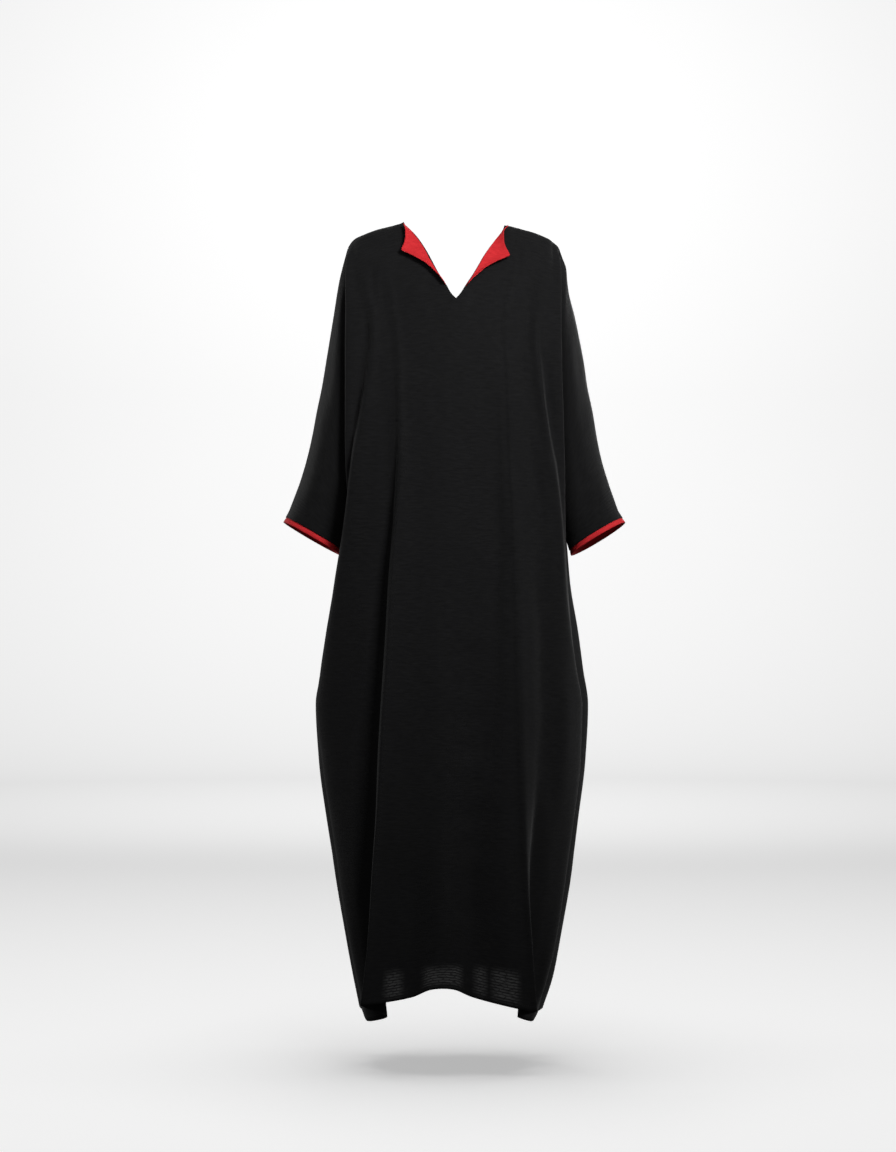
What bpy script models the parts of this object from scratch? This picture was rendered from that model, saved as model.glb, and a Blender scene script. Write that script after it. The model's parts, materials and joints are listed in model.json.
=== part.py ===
"""Black maxi dress with wide sleeves, worn and filled out, as thin cloth shells.

Z is up, the front faces -Y and the dress's left sleeve as seen from the front is on -X.
The origin lies midway between the two neck ends of the shoulder seams.
Every panel is lofted through fold lines that run from the shoulder seam to the hem.
"""

import math

import bmesh
import bpy
import numpy as np
from mathutils import Vector
from mathutils.bvhtree import BVHTree

# Sizes in millimetres
CLOTH = 1.6            # thickness of each cloth wall
SEAM_GAP = 0.3         # space left between two pieces along a seam
SHOULDER_END = 380     # level where the slope of the shoulder has run out
HEM_START = 1130       # level where the rows begin to follow the hem
HEM_LEVEL = 1352       # level of the hem at the centre
NECK_LEVEL = 143       # level of the bottom of the neck slit
UNDERARM_LEVEL = 332   # level of the bottom of the armhole
BACK_DEPTH = ((0, 0.80), (332, 0.80), (560, 0.85), (861, 0.88), (1352, 0.98))
CROSSOVER = 130        # level from which the inner folds of the back are those of the other half
BACK_PLEAT = 0.5       # depth of the pleats of the back, as a share of the front's
CUFF_DEPTH = 45        # half of the cuff opening from front to back
CUFF_TILT = {"left": 4.0, "right": 7.0}   # how far the front rim of the cuff is above its middle
CUFF_BAND = 9.5        # height of the red band that shows
CUFF_TUCK = 15         # height of the red facing inside the sleeve, above the band
FACING_LIFT = 9        # how far the free edge of the facing stands off the front

# Rows of the two panels, as levels below the shoulder seam
ROWS = (0, 3, 10, 22, 40, 64, 92, 118, 131, 143, 175, 210, 250, 285, 312, 326, 332, 352, 395, 445,
        495, 540, 590, 645, 715, 785, 830, 866, 910, 980, 1055, 1130, 1215, 1290, 1330, 1352)
# Steps between neighbouring fold lines, from the centre to the side seam
FRONT_STEPS = (2, 2, 1, 1, 1, 1, 2, 2, 1, 2, 1, 1)
BACK_STEPS = (2, 2, 1, 1, 2, 2, 2, 1, 1)
SEAM_EDGE = 2.0        # width of the flat edge of each panel along a seam

# Levels of the columns of the fold tables
LEVELS = (0, 4, 14, 32, 60, 95, 120, 136, 143, 200, 260, 300, 332, 380, 440, 500, 560, 640, 730,
          800, 861, 960, 1060, 1160, 1260, 1310, 1352)

# Each fold line: name, height of its top, height of its hem, x at each level, depth y at each level
LEFT_FOLDS = (
    ("neck", 3, -1350.5,
     (89, 87.5, 77.5, 62.5, 45.5, 27.5, 12, 3, -4, -2, -1, -1, -1, -1, 0, 0, 0, 0, 0, 0, 0, 0, 0,
      0, 0, 0, 0),
     (0, 6, 12, 27, 48, 67, 80, 86.5, 89, 101, 109, 113, 116, 118, 122, 125, 129, 133, 138, 141,
      143, 145, 142, 136, 126, 119.5, 114)),
    ("soft_ridge", 0, -1350,
     (95, 94, 90.5, 87, 76, 58, 41, 32.5, 31, 27, 28, 29, 29, 30, 30, 31, 31, 30, 29, 28, 27, 25,
      23, 23, 27, 32.5, 38),
     (0, 8, 15, 25, 43, 62, 75, 82.5, 85, 99, 109, 114, 117, 120, 123, 126, 130, 134, 140, 143,
      144, 147, 146, 141, 130, 123, 117)),
    ("soft_valley", -3, -1366,
     (106, 105, 105, 104, 97, 85, 73.5, 67.5, 66, 61, 60, 60, 60, 61, 63, 65, 66, 68, 70, 71, 72,
      74, 73, 71, 71, 72.5, 74),
     (0, 8, 15, 25, 41, 59, 71.5, 78.5, 81, 95, 105, 111, 114, 117, 121, 124, 128, 133, 138, 140,
      140, 140, 139, 129, 117, 110, 104)),
    ("pleat_edge", -8, -1378,
     (126, 125, 123, 122, 119, 114, 110.5, 108, 107, 99, 94, 94, 93, 92, 93, 98, 103, 109, 114,
      118, 123, 128, 134, 142, 150, 156, 162),
     (0, 8, 15, 26, 43, 59, 68.5, 74, 76, 92, 103, 109, 112, 116, 121, 125, 130, 135, 140, 143,
      144, 143, 137, 129, 119, 114, 110)),
    ("pleat_valley", -11, -1406,
     (137, 135, 134, 132, 131, 129, 126.5, 124, 123, 111, 106, 103, 101, 101, 101, 105, 108, 113,
      118, 123, 126, 131, 132, 132, 127, 122, 117),
     (0, 8, 16, 26, 43, 57, 65, 70, 72, 87, 98, 103, 106, 108, 109, 108, 105, 104, 106, 108, 108,
      108, 103, 93, 82, 75.5, 70)),
    ("roll", -17.5, -1415,
     (155, 154, 153, 152, 150, 145, 139, 135.5, 134, 126, 128, 130, 131, 134, 139, 144, 150, 155,
      161, 166, 172, 178, 178, 174, 159, 147.5, 137),
     (0, 8, 15, 25, 42, 56, 65.5, 71, 73, 87, 96, 99, 102, 103, 103, 102, 100, 98, 96, 95, 93, 88,
      81, 71, 63, 59, 56)),
    ("hip_fold", -26, -1419,
     (173, 172, 172, 170, 165, 156, 149.5, 146, 145, 141, 147, 154, 160, 168, 179, 187, 195, 208,
      222, 233, 241, 231, 217, 201, 180, 166, 153),
     (0, 8, 15, 27, 42, 58, 68, 74, 76, 90, 97, 100, 101, 101, 99, 94, 88, 80, 70, 62, 53, 47, 45,
      43, 41, 39.5, 38)),
    ("hip_valley", -28.5, -1415,
     (177, 177, 178, 177, 175, 170, 164, 160, 159, 153, 158, 163, 168, 175, 181, 184, 190, 205,
      220, 232, 239, 228, 215, 199, 179, 167.5, 158),
     (0, 6, 13, 24, 39, 53, 63, 69, 71, 82, 87, 89, 89, 88, 85, 79, 70, 60, 47, 39, 33, 27, 25, 24,
      24, 24, 24)),
    ("side_edge", -33, -1410,
     (182, 183, 185, 190, 191, 191, 190.5, 190, 190, 190, 190, 190, 190, 190, 189, 186, 187, 202,
      217, 228, 237, 226, 212, 196, 177, 168, 161),
     (0, 5, 11, 24, 39, 53, 60.5, 64.5, 66, 77, 83, 85, 85, 84, 80, 71, 56, 42, 32, 25, 19, 15, 14,
      13, 12, 12, 12)),
    ("side_wall", -37.5, -1406,
     (185, 186, 187, 188, 188, 188, 187.5, 187, 187, 187, 184, 178, 173, 171, 171, 172, 179, 197,
      215, 226, 233, 224, 210, 194, 176, 168.5, 163),
     (0, 4, 8, 17, 33, 47, 54.5, 58.5, 60, 71, 74, 69, 63, 59, 54, 46, 35, 26, 18, 14, 10, 8, 7, 6,
      6, 6, 6)),
    ("seam", -42.5, -1403,
     (188, 188, 188, 187, 187, 186, 186, 186, 186, 185, 180, 174, 167, 166, 166, 166, 175, 194,
      213, 224, 231, 223, 209, 193, 175, 169, 164),
     (0, 3, 8, 17, 29, 39, 46, 50.5, 52, 62, 61, 45, 0, 0, 0, 0, 0, 0, 0, 0, 0, 0, 0, 0, 0, 0, 0)),
    ("back_crest", -27, -1405,
     (176, 175, 174, 173, 166, 159, 159.5, 160, 160, 164, 168, 170, 174, 180, 186, 192, 199, 212,
      225, 237, 248, 243, 230, 213, 192, 180, 169),
     (0, 12, 23, 35, 50, 63, 70, 74, 75, 81, 85, 86, 87, 87, 86, 85, 81, 75, 65, 57, 51, 47, 45,
      44, 42, 40, 38)),
)

RIGHT_FOLDS = (
    ("neck", -3, -1350.5,
     (91, 90, 86.5, 73, 54.5, 35.5, 20, 10.5, 4, 2, 1, 1, 1, 1, 0, 0, 0, 0, 0, 0, 0, 0, 0, 0, 0, 0,
      0),
     (0, 7, 14, 30, 51, 70, 81.5, 88, 90, 101, 109, 113, 116, 118, 122, 125, 129, 133, 138, 141,
      143, 145, 142, 136, 126, 119.5, 114)),
    ("soft_ridge", -4, -1364,
     (98, 95, 93, 89, 77, 60, 46, 39.5, 39, 46, 63, 70, 73, 74, 74, 74, 74, 73, 69, 64, 60, 56, 47,
      37, 32, 31, 30),
     (0, 9, 17, 28, 47, 64, 76, 82.5, 85, 98, 106, 109, 111, 114, 117, 120, 124, 128, 133, 137,
      138, 139, 136, 128, 117, 111, 106)),
    ("soft_valley", -6, -1381,
     (107, 105, 104, 101, 96, 86, 76, 71.5, 71, 71, 78, 81, 82, 84, 86, 88, 89, 89, 89, 89, 88, 87,
      87, 88, 92, 93.5, 95),
     (0, 9, 18, 29, 45, 62, 73.5, 79.5, 82, 96, 105, 109, 112, 115, 119, 123, 126, 131, 136, 140,
      141, 142, 140, 133, 122, 115.5, 110)),
    ("pleat_edge", -8, -1389,
     (115, 115, 114, 113, 111, 106, 100.5, 97, 96, 92, 95, 96, 97, 98, 100, 104, 107, 109, 112,
      114, 116, 119, 123, 128, 137, 141.5, 145),
     (0, 9, 17, 28, 44, 60, 71, 77.5, 80, 94, 104, 109, 112, 115, 120, 125, 130, 134, 139, 142,
      143, 142, 137, 129, 118, 113, 109)),
    ("pleat_valley", -11, -1406,
     (125, 124, 122, 122, 123, 122, 118.5, 116.5, 116, 115, 121, 125, 128, 133, 140, 149, 152, 152,
      153, 152, 152, 149, 140, 130, 120, 116, 113),
     (0, 9, 17, 28, 43, 57, 67, 73, 75, 87, 95, 98, 100, 101, 101, 101, 101, 102, 104, 106, 106,
      106, 102, 93, 83, 76, 70)),
    ("roll", -17, -1414,
     (146, 145, 144, 143, 142, 137, 134.5, 133.5, 133, 131, 135, 139, 143, 149, 157, 167, 172, 175,
      178, 185, 193, 191, 179, 167, 148, 136.5, 126),
     (0, 8, 16, 27, 41, 56, 64.5, 69, 71, 85, 94, 97, 98, 100, 102, 101, 99, 98, 98, 97, 94, 89,
      81, 72, 64, 59.5, 56)),
    ("hip_fold", -28.5, -1419,
     (172, 172, 172, 172, 169, 160, 154, 151, 150, 145, 150, 155, 160, 167, 176, 185, 190, 195,
      204, 215, 226, 223, 212, 197, 176, 157, 139),
     (0, 8, 15, 27, 43, 60, 68.5, 73, 75, 90, 97, 100, 101, 102, 102, 98, 95, 89, 81, 70, 58, 51,
      48, 45, 43, 41.5, 40)),
    ("hip_valley", -32, -1416,
     (176, 176, 177, 177, 177, 172, 166.5, 163, 162, 156, 160, 164, 168, 174, 182, 188, 193, 199,
      207, 217, 226, 223, 212, 196, 176, 159.5, 144),
     (0, 6, 12, 24, 40, 55, 63.5, 68, 70, 81, 86, 88, 88, 88, 87, 83, 77, 68, 57, 47, 38, 31, 29,
      28, 27, 26.5, 26)),
    ("side_edge", -36, -1412,
     (181, 183, 185, 189, 190, 190, 189.5, 189, 189, 189, 190, 191, 192, 193, 195, 196, 197, 201,
      209, 217, 225, 222, 211, 195, 176, 161.5, 148),
     (0, 5, 11, 23, 39, 53, 60.5, 64.5, 66, 77, 83, 85, 85, 84, 80, 72, 60, 47, 35, 28, 22, 16, 15,
      14, 13, 13, 13)),
    ("side_wall", -39.5, -1407,
     (185, 186, 187, 188, 188, 187, 186.5, 186, 186, 186, 184, 178, 176, 175, 176, 178, 185, 195,
      206, 215, 223, 220, 209, 194, 175, 162.5, 151),
     (0, 4, 8, 17, 32, 47, 54.5, 58.5, 60, 71, 74, 69, 63, 59, 54, 46, 37, 28, 20, 14, 10, 8, 7, 7,
      7, 6.5, 6)),
    ("seam", -42, -1405,
     (187, 188, 188, 187, 186, 185, 185, 185, 185, 184, 180, 176, 170, 169, 170, 173, 181, 194,
      204, 213, 221, 218, 207, 192, 173, 162, 152),
     (0, 3, 8, 17, 29, 40, 46.5, 50.5, 52, 62, 61, 45, 0, 0, 0, 0, 0, 0, 0, 0, 0, 0, 0, 0, 0, 0, 0)),
    ("back_crest", -30, -1408,
     (173, 175, 177, 178, 172, 165, 165.5, 166, 166, 168, 170, 173, 176, 182, 189, 197, 204, 211,
      225.5, 234.5, 243, 238, 226, 212.5, 191, 178.5, 160.5),
     (0, 13, 24, 36, 51, 64, 70.5, 74, 75, 81, 85, 86, 87, 87, 86, 85, 81, 75, 65, 57, 51, 47, 45,
      44, 42, 40, 38)),
)

# Armhole to cuff: x and height of the outer and of the inner line of each sleeve
SLEEVE_LINES = {
    "left": {
        "outer": ((188, -43), (192, -57), (198, -79), (203, -100), (207, -122), (214, -165),
                  (221, -208), (228, -251), (235, -293), (244, -336), (252, -379), (262, -422),
                  (275, -465), (291, -508), (300, -526), (304, -534)),
        "inner": ((167, -337), (173, -369), (176, -422), (181, -476), (188, -530), (198, -575),
                  (202, -592.5)),
    },
    "right": {
        "outer": ((187, -43), (192, -57), (200, -79), (202, -100), (205, -122), (216, -165),
                  (225, -208), (233, -251), (239, -293), (248, -336), (255, -379), (264, -422),
                  (277, -465), (291, -508), (303, -528), (307, -535)),
        "inner": ((170, -338), (175, -369), (178, -422), (183, -476), (191, -530), (205, -575),
                  (210.5, -592.5)),
    },
}
# Depth of the sleeve, half of it from front to back, at shares of its length
SLEEVE_DEPTH = ((0.0, 66), (0.35, 65), (0.7, 58), (1.0, CUFF_DEPTH))
SLEEVE_RINGS = (0.0, 0.02, 0.05, 0.1, 0.17, 0.26, 0.36, 0.46, 0.56, 0.66, 0.76, 0.86)
ARMHOLE_INSET = 1.6    # distance of the middle of the sleeve's wall from the armhole's edge
ARMHOLE_OUT = (0.9, 0.9)  # how far the sleeve's edge lies outside it, at the top and more at the underarm

# Facing of the neck: x and height of points on the fold at the neck edge and on the free edge
FACING_LEFT = (
    (82, -9, 90, -8), (74, -18, 86.5, -17), (68, -26, 85, -25), (62.5, -33, 84.5, -33),
    (57.5, -41, 86, -44), (52.5, -49, 91, -57), (47.5, -59, 81.5, -63), (43, -69, 71, -68),
    (38.5, -77, 62.5, -73), (34, -85, 54.5, -77), (29, -94, 46, -83), (23.5, -103, 37, -91),
    (19.5, -109, 29.5, -99), (16.5, -114, 22, -107), (13.5, -119, 15.5, -116),
)
FACING_RIGHT = (
    (89.5, -13, 97, -12), (86.5, -18, 94, -17), (82, -24, 90.5, -21.5), (75.5, -32, 88, -32),
    (69, -41, 89, -46), (63, -50, 97.5, -67.5), (56.5, -60, 92, -71), (51.5, -68, 87, -74),
    (47.5, -76, 79, -77), (42, -86, 71, -80.5), (36.5, -96, 62.5, -84.5), (32, -104, 53, -90),
    (27, -112, 42, -100), (23, -118, 32, -109), (20.5, -122, 23.5, -119),
)
FACING_STEPS = 5

BLACK_CREPE = (0.012, 0.012, 0.012)
RED_CREPE = (0.62, 0.03, 0.035)

SIGN = {"left": -1, "right": 1}
FOLDS = {"left": LEFT_FOLDS, "right": RIGHT_FOLDS}


def smooth(xs, ys, at):
    """Value at one place of the smooth curve through the points, which never overshoots them."""
    if at <= xs[0]:
        return ys[0]
    if at >= xs[-1]:
        return ys[-1]
    i = max(k for k in range(len(xs) - 1) if xs[k] <= at)

    def slope(k):
        if k == 0 or k == len(xs) - 1:
            j = min(k, len(xs) - 2)
            return (ys[j + 1] - ys[j]) / (xs[j + 1] - xs[j])
        h0, h1 = xs[k] - xs[k - 1], xs[k + 1] - xs[k]
        d0, d1 = (ys[k] - ys[k - 1]) / h0, (ys[k + 1] - ys[k]) / h1
        if d0 * d1 <= 0:
            return 0.0
        return 3 * (h0 + h1) / ((2 * h1 + h0) / d0 + (h1 + 2 * h0) / d1)

    h = xs[i + 1] - xs[i]
    t = (at - xs[i]) / h
    return ((2 * t**3 - 3 * t**2 + 1) * ys[i] + (t**3 - 2 * t**2 + t) * h * slope(i)
            + (3 * t**2 - 2 * t**3) * ys[i + 1] + (t**3 - t**2) * h * slope(i + 1))


def height(level, top, hem, end=SHOULDER_END):
    """Height of a fold line at a level, between its own top and its own hem."""
    if level < end:
        return top - level * (1 + top / end)
    if level > HEM_START:
        return -HEM_START + (level - HEM_START) * (hem + HEM_START) / (HEM_LEVEL - HEM_START)
    return -level


ROOT_LEVELS = tuple(math.sqrt(level) for level in LEVELS)


def fold_point(fold, level, side):
    """Point of a fold line of the front at a level."""
    name, top, hem, xs, ys = fold
    root = math.sqrt(level)
    end = NECK_LEVEL if name == "neck" else SHOULDER_END
    x = smooth(ROOT_LEVELS, xs, root)
    y = smooth(ROOT_LEVELS, ys, root)
    return np.array((SIGN[side] * x, -y, height(level, top, hem, end)))


def fold_points(side, level):
    """All fold points of a half at a level, by name; the halves share the centre below the slit."""
    line = {fold[0]: fold_point(fold, level, side) for fold in FOLDS[side]}
    if level >= NECK_LEVEL:
        line["neck"] = (fold_point(LEFT_FOLDS[0], level, "left")
                        + fold_point(RIGHT_FOLDS[0], level, "right")) / 2
    return line


def front_points(side, level):
    """Fold points of half of the front at a level, from the centre to the side seam."""
    line = fold_points(side, level)
    edge, valley = line["pleat_edge"], line["pleat_valley"]
    step = min(1.0, max(0.0, (valley[1] - edge[1]) / 30))
    out = SIGN[side]
    before = edge + np.array((-out * min(11.0, abs(edge[0] - line["soft_valley"][0]) * 0.4), 1.5 * step, 0))
    wall = edge + 0.42 * (valley - edge) + np.array((out * 2.5 * step, 0, 0))
    names = ("neck", "soft_ridge", "soft_valley")
    rest = ("roll", "hip_fold", "hip_valley", "side_edge", "side_wall", "seam")
    return ([line[n] for n in names] + [before, edge, wall, valley] + [line[n] for n in rest])


def back_points(side, level):
    """Fold points of half of the back at a level, with the other half's folds inside."""
    other = "right" if side == "left" else "left"
    depth = smooth([row[0] for row in BACK_DEPTH], [row[1] for row in BACK_DEPTH], level)
    own, far = fold_points(side, level), fold_points(other, level)
    share = min(1.0, level / CROSSOVER)
    inner = {name: (own[name] * (1, -depth, 1)) * (1 - share) + (far[name] * (-1, -depth, 1)) * share
             for name in own}
    edge, valley, roll = inner["pleat_edge"], inner["pleat_valley"], inner["roll"]
    chord = (edge + roll) / 2
    chord[1] = max(chord[1], valley[1])
    valley = valley * BACK_PLEAT + chord * (1 - BACK_PLEAT)
    crest = own["back_crest"] * np.array((1, -1, 1))
    outer = [own[n] * np.array((1, -0.95, 1)) for n in ("side_edge", "side_wall", "seam")]
    neck = own["neck"] * np.array((1, -depth, 1))
    fall = min(1.0, level / NECK_LEVEL)
    neck[2] -= 9 * fall * max(0.0, 1 - max(0.0, level - NECK_LEVEL) / 200)
    points = [neck, inner["soft_ridge"], inner["soft_valley"], edge, valley, roll, crest, *outer]
    if level > HEM_START:
        share = (level - HEM_START) / (HEM_LEVEL - HEM_START)
        for point, drop in zip(points[1:6], (-1350, -1352, -1366, -1384, -1404)):
            point[2] = -HEM_START + share * (drop + HEM_START)
    return points


def spline(points, steps, before, after):
    """Points of a centripetal spline through the fold points, with so many steps from each to the next."""
    chain = [before, *points, after]
    made = []
    for i, count in enumerate(steps):
        p0, p1, p2, p3 = chain[i:i + 4]
        t1 = max(1e-3, np.linalg.norm(p1 - p0)) ** 0.5
        t2 = t1 + max(1e-3, np.linalg.norm(p2 - p1)) ** 0.5
        t3 = t2 + max(1e-3, np.linalg.norm(p3 - p2)) ** 0.5
        for k in range(count):
            t = t1 + (t2 - t1) * k / count
            a1 = (t1 - t) / t1 * p0 + t / t1 * p1
            a2 = (t2 - t) / (t2 - t1) * p1 + (t - t1) / (t2 - t1) * p2
            a3 = (t3 - t) / (t3 - t2) * p2 + (t - t2) / (t3 - t2) * p3
            b1 = (t2 - t) / t2 * a1 + t / t2 * a2
            b2 = (t3 - t) / (t3 - t1) * a2 + (t - t1) / (t3 - t1) * a3
            made.append((t2 - t) / (t2 - t1) * b1 + (t - t1) / (t2 - t1) * b2)
    return made + [points[-1]]


def half_panel(part, side, rows):
    """Grid of points of half of the front or of the back, rows from the shoulder seam to the hem."""
    here, there = (front_points, back_points) if part == "front" else (back_points, front_points)
    steps = FRONT_STEPS if part == "front" else BACK_STEPS
    other = "right" if side == "left" else "left"
    grid = []
    for level in rows:
        points = here(side, level)
        before = 2 * points[0] - points[1]
        if level >= NECK_LEVEL:
            before = here(other, level)[1]
        after = 2 * points[-1] - points[-2]
        if level >= UNDERARM_LEVEL:
            after = there(side, level)[-2]
        row = spline(points, steps, before, after)
        inward = row[-2] - row[-1]
        if level >= UNDERARM_LEVEL:
            inward = end_direction(points[-2], points[-1], after)
        edge = min(SEAM_EDGE, 0.45 * np.linalg.norm(row[-2] - row[-1]))
        inward = inward / np.linalg.norm(inward)
        grid.append(row[:-1] + [row[-1] + inward * edge, row[-1] + inward * SEAM_GAP / 2])
    lean = -1 if part == "front" else 1
    top = [point + np.array((0, lean * SEAM_GAP / 2, 0)) for point in grid[0]]
    below = [point + np.array((0, lean * SEAM_EDGE, -0.1)) for point in grid[0]]
    return [top, below] + grid[1:]


def end_direction(p1, p2, p3):
    """Direction back along the spline at its last point, the same for both panels that meet there."""
    t1 = np.linalg.norm(p2 - p1) ** 0.5
    t2 = np.linalg.norm(p3 - p2) ** 0.5
    return -((p2 - p1) / t1 - (p3 - p1) / (t1 + t2) + (p3 - p2) / t2)


def mesh_object(name, points, faces, material):
    """Object of the points, in millimetres, and faces, with smooth shading."""
    mesh = bpy.data.meshes.new(name)
    mesh.from_pydata([tuple(np.asarray(p) / 1000) for p in points], [], faces)
    shape = bmesh.new()
    shape.from_mesh(mesh)
    bmesh.ops.remove_doubles(shape, verts=shape.verts, dist=0.00002)
    bmesh.ops.recalc_face_normals(shape, faces=shape.faces)
    shape.to_mesh(mesh)
    shape.free()
    mesh.shade_smooth()
    mesh.materials.append(material)
    thing = bpy.data.objects.new(name, mesh)
    dress.objects.link(thing)
    return thing


def grid_faces(rows, columns, start=0, closed=False, turned=False):
    """Faces of a grid of points, closed into a tube or left open."""
    faces = []
    for r in range(rows - 1):
        for c in range(columns if closed else columns - 1):
            d = (c + 1) % columns
            face = (start + r * columns + c, start + r * columns + d,
                    start + (r + 1) * columns + d, start + (r + 1) * columns + c)
            faces.append(face[::-1] if turned else face)
    return faces


def thicken(thing, thickness=CLOTH):
    """Gives the cloth its wall, half to each side."""
    wall = thing.modifiers.new("cloth wall", "SOLIDIFY")
    wall.thickness = thickness / 1000
    wall.offset = 0
    wall.use_even_offset = True
    wall.use_quality_normals = True
    return thing


def cloth_material(name, colour, roughness):
    """Plain material of a cloth."""
    material = bpy.data.materials.new(name)
    material.use_nodes = True
    shader = material.node_tree.nodes["Principled BSDF"]
    shader.inputs["Base Color"].default_value = (*colour, 1)
    shader.inputs["Roughness"].default_value = roughness
    return material


def panel(name, material):
    """The front or the back: two halves that share the centre below the neck slit."""
    points, faces = [], []
    for side in ("left", "right"):
        grid = half_panel(name, side, ROWS)
        columns = len(grid[0])
        faces += grid_faces(len(grid), columns, len(points), turned=side == "right")
        points += [point for row in grid for point in row]
    return mesh_object(name, points, faces, material)


def armhole(side):
    """Points round the armhole, from its top down the front to the underarm and up the back."""
    seam = FOLDS[side][-2]
    half = [fold_point(seam, level, side) for level in ROWS if level <= UNDERARM_LEVEL]
    back = [point * np.array((1, -0.95, 1)) for point in half[1:-1]]
    return half + back[::-1]


def rail(side, name, share=None, from_rim=0.0):
    """Point of a line of the sleeve, at a share of its length or a distance from its rim."""
    rows = SLEEVE_LINES[side][name]
    run = [0.0]
    for a, b in zip(rows, rows[1:]):
        run.append(run[-1] + math.dist(a, b))
    at = share * run[-1] if share is not None else run[-1] - from_rim
    x = smooth(run, [row[0] for row in rows], at)
    z = smooth(run, [row[1] for row in rows], at)
    return np.array((SIGN[side] * x, 0.0, z))


def oval(side, outer, inner, share, count):
    """Points round the sleeve, an oval from the outer to the inner line, the front first."""
    depth = smooth([row[0] for row in SLEEVE_DEPTH], [row[1] for row in SLEEVE_DEPTH], share)
    bulge = np.array((SIGN[side] * 10, 0, -8)) * (1 - share) ** 2
    tilt = CUFF_TILT[side] * max(0.0, (share - 0.6) / 0.4)
    centre, half = (outer + inner) / 2, (outer - inner) / 2
    ring = []
    for k in range(count):
        turn = 2 * math.pi * k / count
        ring.append(centre + math.cos(turn) * half + math.sin(turn) ** 2 * bulge
                    + math.sin(turn) * np.array((0, -depth, tilt)))
    return ring


def sleeve_ring(side, share):
    """Points round the sleeve at a share of its length, set into the armhole near its top."""
    hole = armhole(side)
    count = len(hole)
    ring = oval(side, rail(side, "outer", share), rail(side, "inner", share), share, count)
    if share >= 0.34:
        return ring
    plain = oval(side, rail(side, "outer", 0.0), rail(side, "inner", 0.0), 0.0, count)
    keep = (1 - share / 0.34) ** 2
    middle = sum(hole) / count
    for k in range(count):
        inset = middle - hole[k]
        inset[0] = 0
        inset *= ARMHOLE_INSET / np.linalg.norm(inset)
        inset[0] = SIGN[side] * (ARMHOLE_OUT[0] + ARMHOLE_OUT[1] * math.sin(math.pi * k / count) ** 2)
        ring[k] = ring[k] + keep * (hole[k] - plain[k] + inset)
    return ring


def rim_ring(side, from_rim, inwards=0.0):
    """Points round the sleeve at a distance from its rim, moved in from the middle of the wall."""
    count = len(armhole(side))
    share = 1 - from_rim / 400

    def at(distance):
        return oval(side, rail(side, "outer", None, distance), rail(side, "inner", None, distance),
                    share, count)

    ring = at(from_rim)
    middle = sum(ring) / count
    axis = middle - sum(at(from_rim + 5)) / count
    moved = []
    for k in range(count):
        inward = np.cross(ring[(k + 1) % count] - ring[k - 1], axis)
        inward /= np.linalg.norm(inward)
        if np.dot(inward, middle - ring[k]) < 0:
            inward = -inward
        moved.append(ring[k] + inward * inwards)
    return moved


def tube(name, rings, material):
    """Object of a tube through the rings, open at both ends."""
    points = [point for ring in rings for point in ring]
    return mesh_object(name, points, grid_faces(len(rings), len(rings[0]), closed=True), material)


def sleeve(side, material):
    """A sleeve as a tube from the armhole to the top of the cuff's band."""
    rings = [sleeve_ring(side, share) for share in SLEEVE_RINGS]
    rings += [rim_ring(side, CUFF_BAND + CUFF_TUCK), rim_ring(side, CUFF_BAND)]
    return tube("sleeve_" + side, rings, material)


def cuff(side, material):
    """The cuff's facing: tucked inside the sleeve above, flush with it at the rim."""
    tuck = CLOTH + SEAM_GAP
    rows = ((CUFF_BAND + CUFF_TUCK, tuck), (CUFF_BAND - 1, tuck), (CUFF_BAND * 0.55, 0.6), (0.0, 0.0))
    return tube("cuff_" + side, [rim_ring(side, *row) for row in rows], material)


def facing(side, rows, front_tree, material):
    """A facing turned out at the neck, laid on the front's own points and lifted to its free edge."""
    points = []
    for x0, z0, x1, z1 in rows:
        for k in range(FACING_STEPS + 1):
            share = k / FACING_STEPS
            x = SIGN[side] * (x0 + (x1 - x0) * share)
            z = z0 + (z1 - z0) * share
            start = Vector((x / 1000, -0.5, z / 1000))
            hit, normal, _, _ = front_tree.ray_cast(start, Vector((0, 1, 0)))
            if hit is None:
                hit, normal, _, _ = front_tree.find_nearest(Vector((x / 1000, -0.02, z / 1000)))
            if normal.y > 0:
                normal = -normal
            lift = CLOTH + SEAM_GAP + 0.3 + FACING_LIFT * share ** 1.3
            points.append(np.array(hit) * 1000 + np.array(normal) * lift)
    columns = FACING_STEPS + 1
    faces = grid_faces(len(rows), columns)
    return mesh_object("neck_facing_" + side, points, faces, material)


for thing in list(bpy.data.objects):
    bpy.data.objects.remove(thing)
dress = bpy.data.collections.new("maxi_dress")
bpy.context.scene.collection.children.link(dress)

black_crepe = cloth_material("black_crepe", BLACK_CREPE, 0.9)
red_crepe = cloth_material("red_crepe", RED_CREPE, 0.75)

front = panel("front", black_crepe)
back = panel("back", black_crepe)
front_tree = BVHTree.FromPolygons([v.co for v in front.data.vertices],
                                  [tuple(f.vertices) for f in front.data.polygons])
for piece in (front, back):
    thicken(piece)
for side in ("left", "right"):
    thicken(sleeve(side, black_crepe))
    thicken(cuff(side, red_crepe))
thicken(facing("left", FACING_LEFT, front_tree, red_crepe))
thicken(facing("right", FACING_RIGHT, front_tree, red_crepe))
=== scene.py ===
"""Looks of a long black crepe dress with wide sleeves, worn and filled out with no wearer.

Z is up, the front faces -Y, and "left" is the side that is on the left when the front is seen.
Tables and sizes are in millimetres, and the finished meshes are in metres. Every panel is a grid
of cloth drawn through fold lines that run from the shoulder seam to the hem, and finer creases
are then pressed into it.
"""

import json
import logging
import math
from dataclasses import dataclass
from enum import Enum

import bmesh
import bpy
import numpy as np
from mathutils import Matrix, Vector
from mathutils.bvhtree import BVHTree

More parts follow.
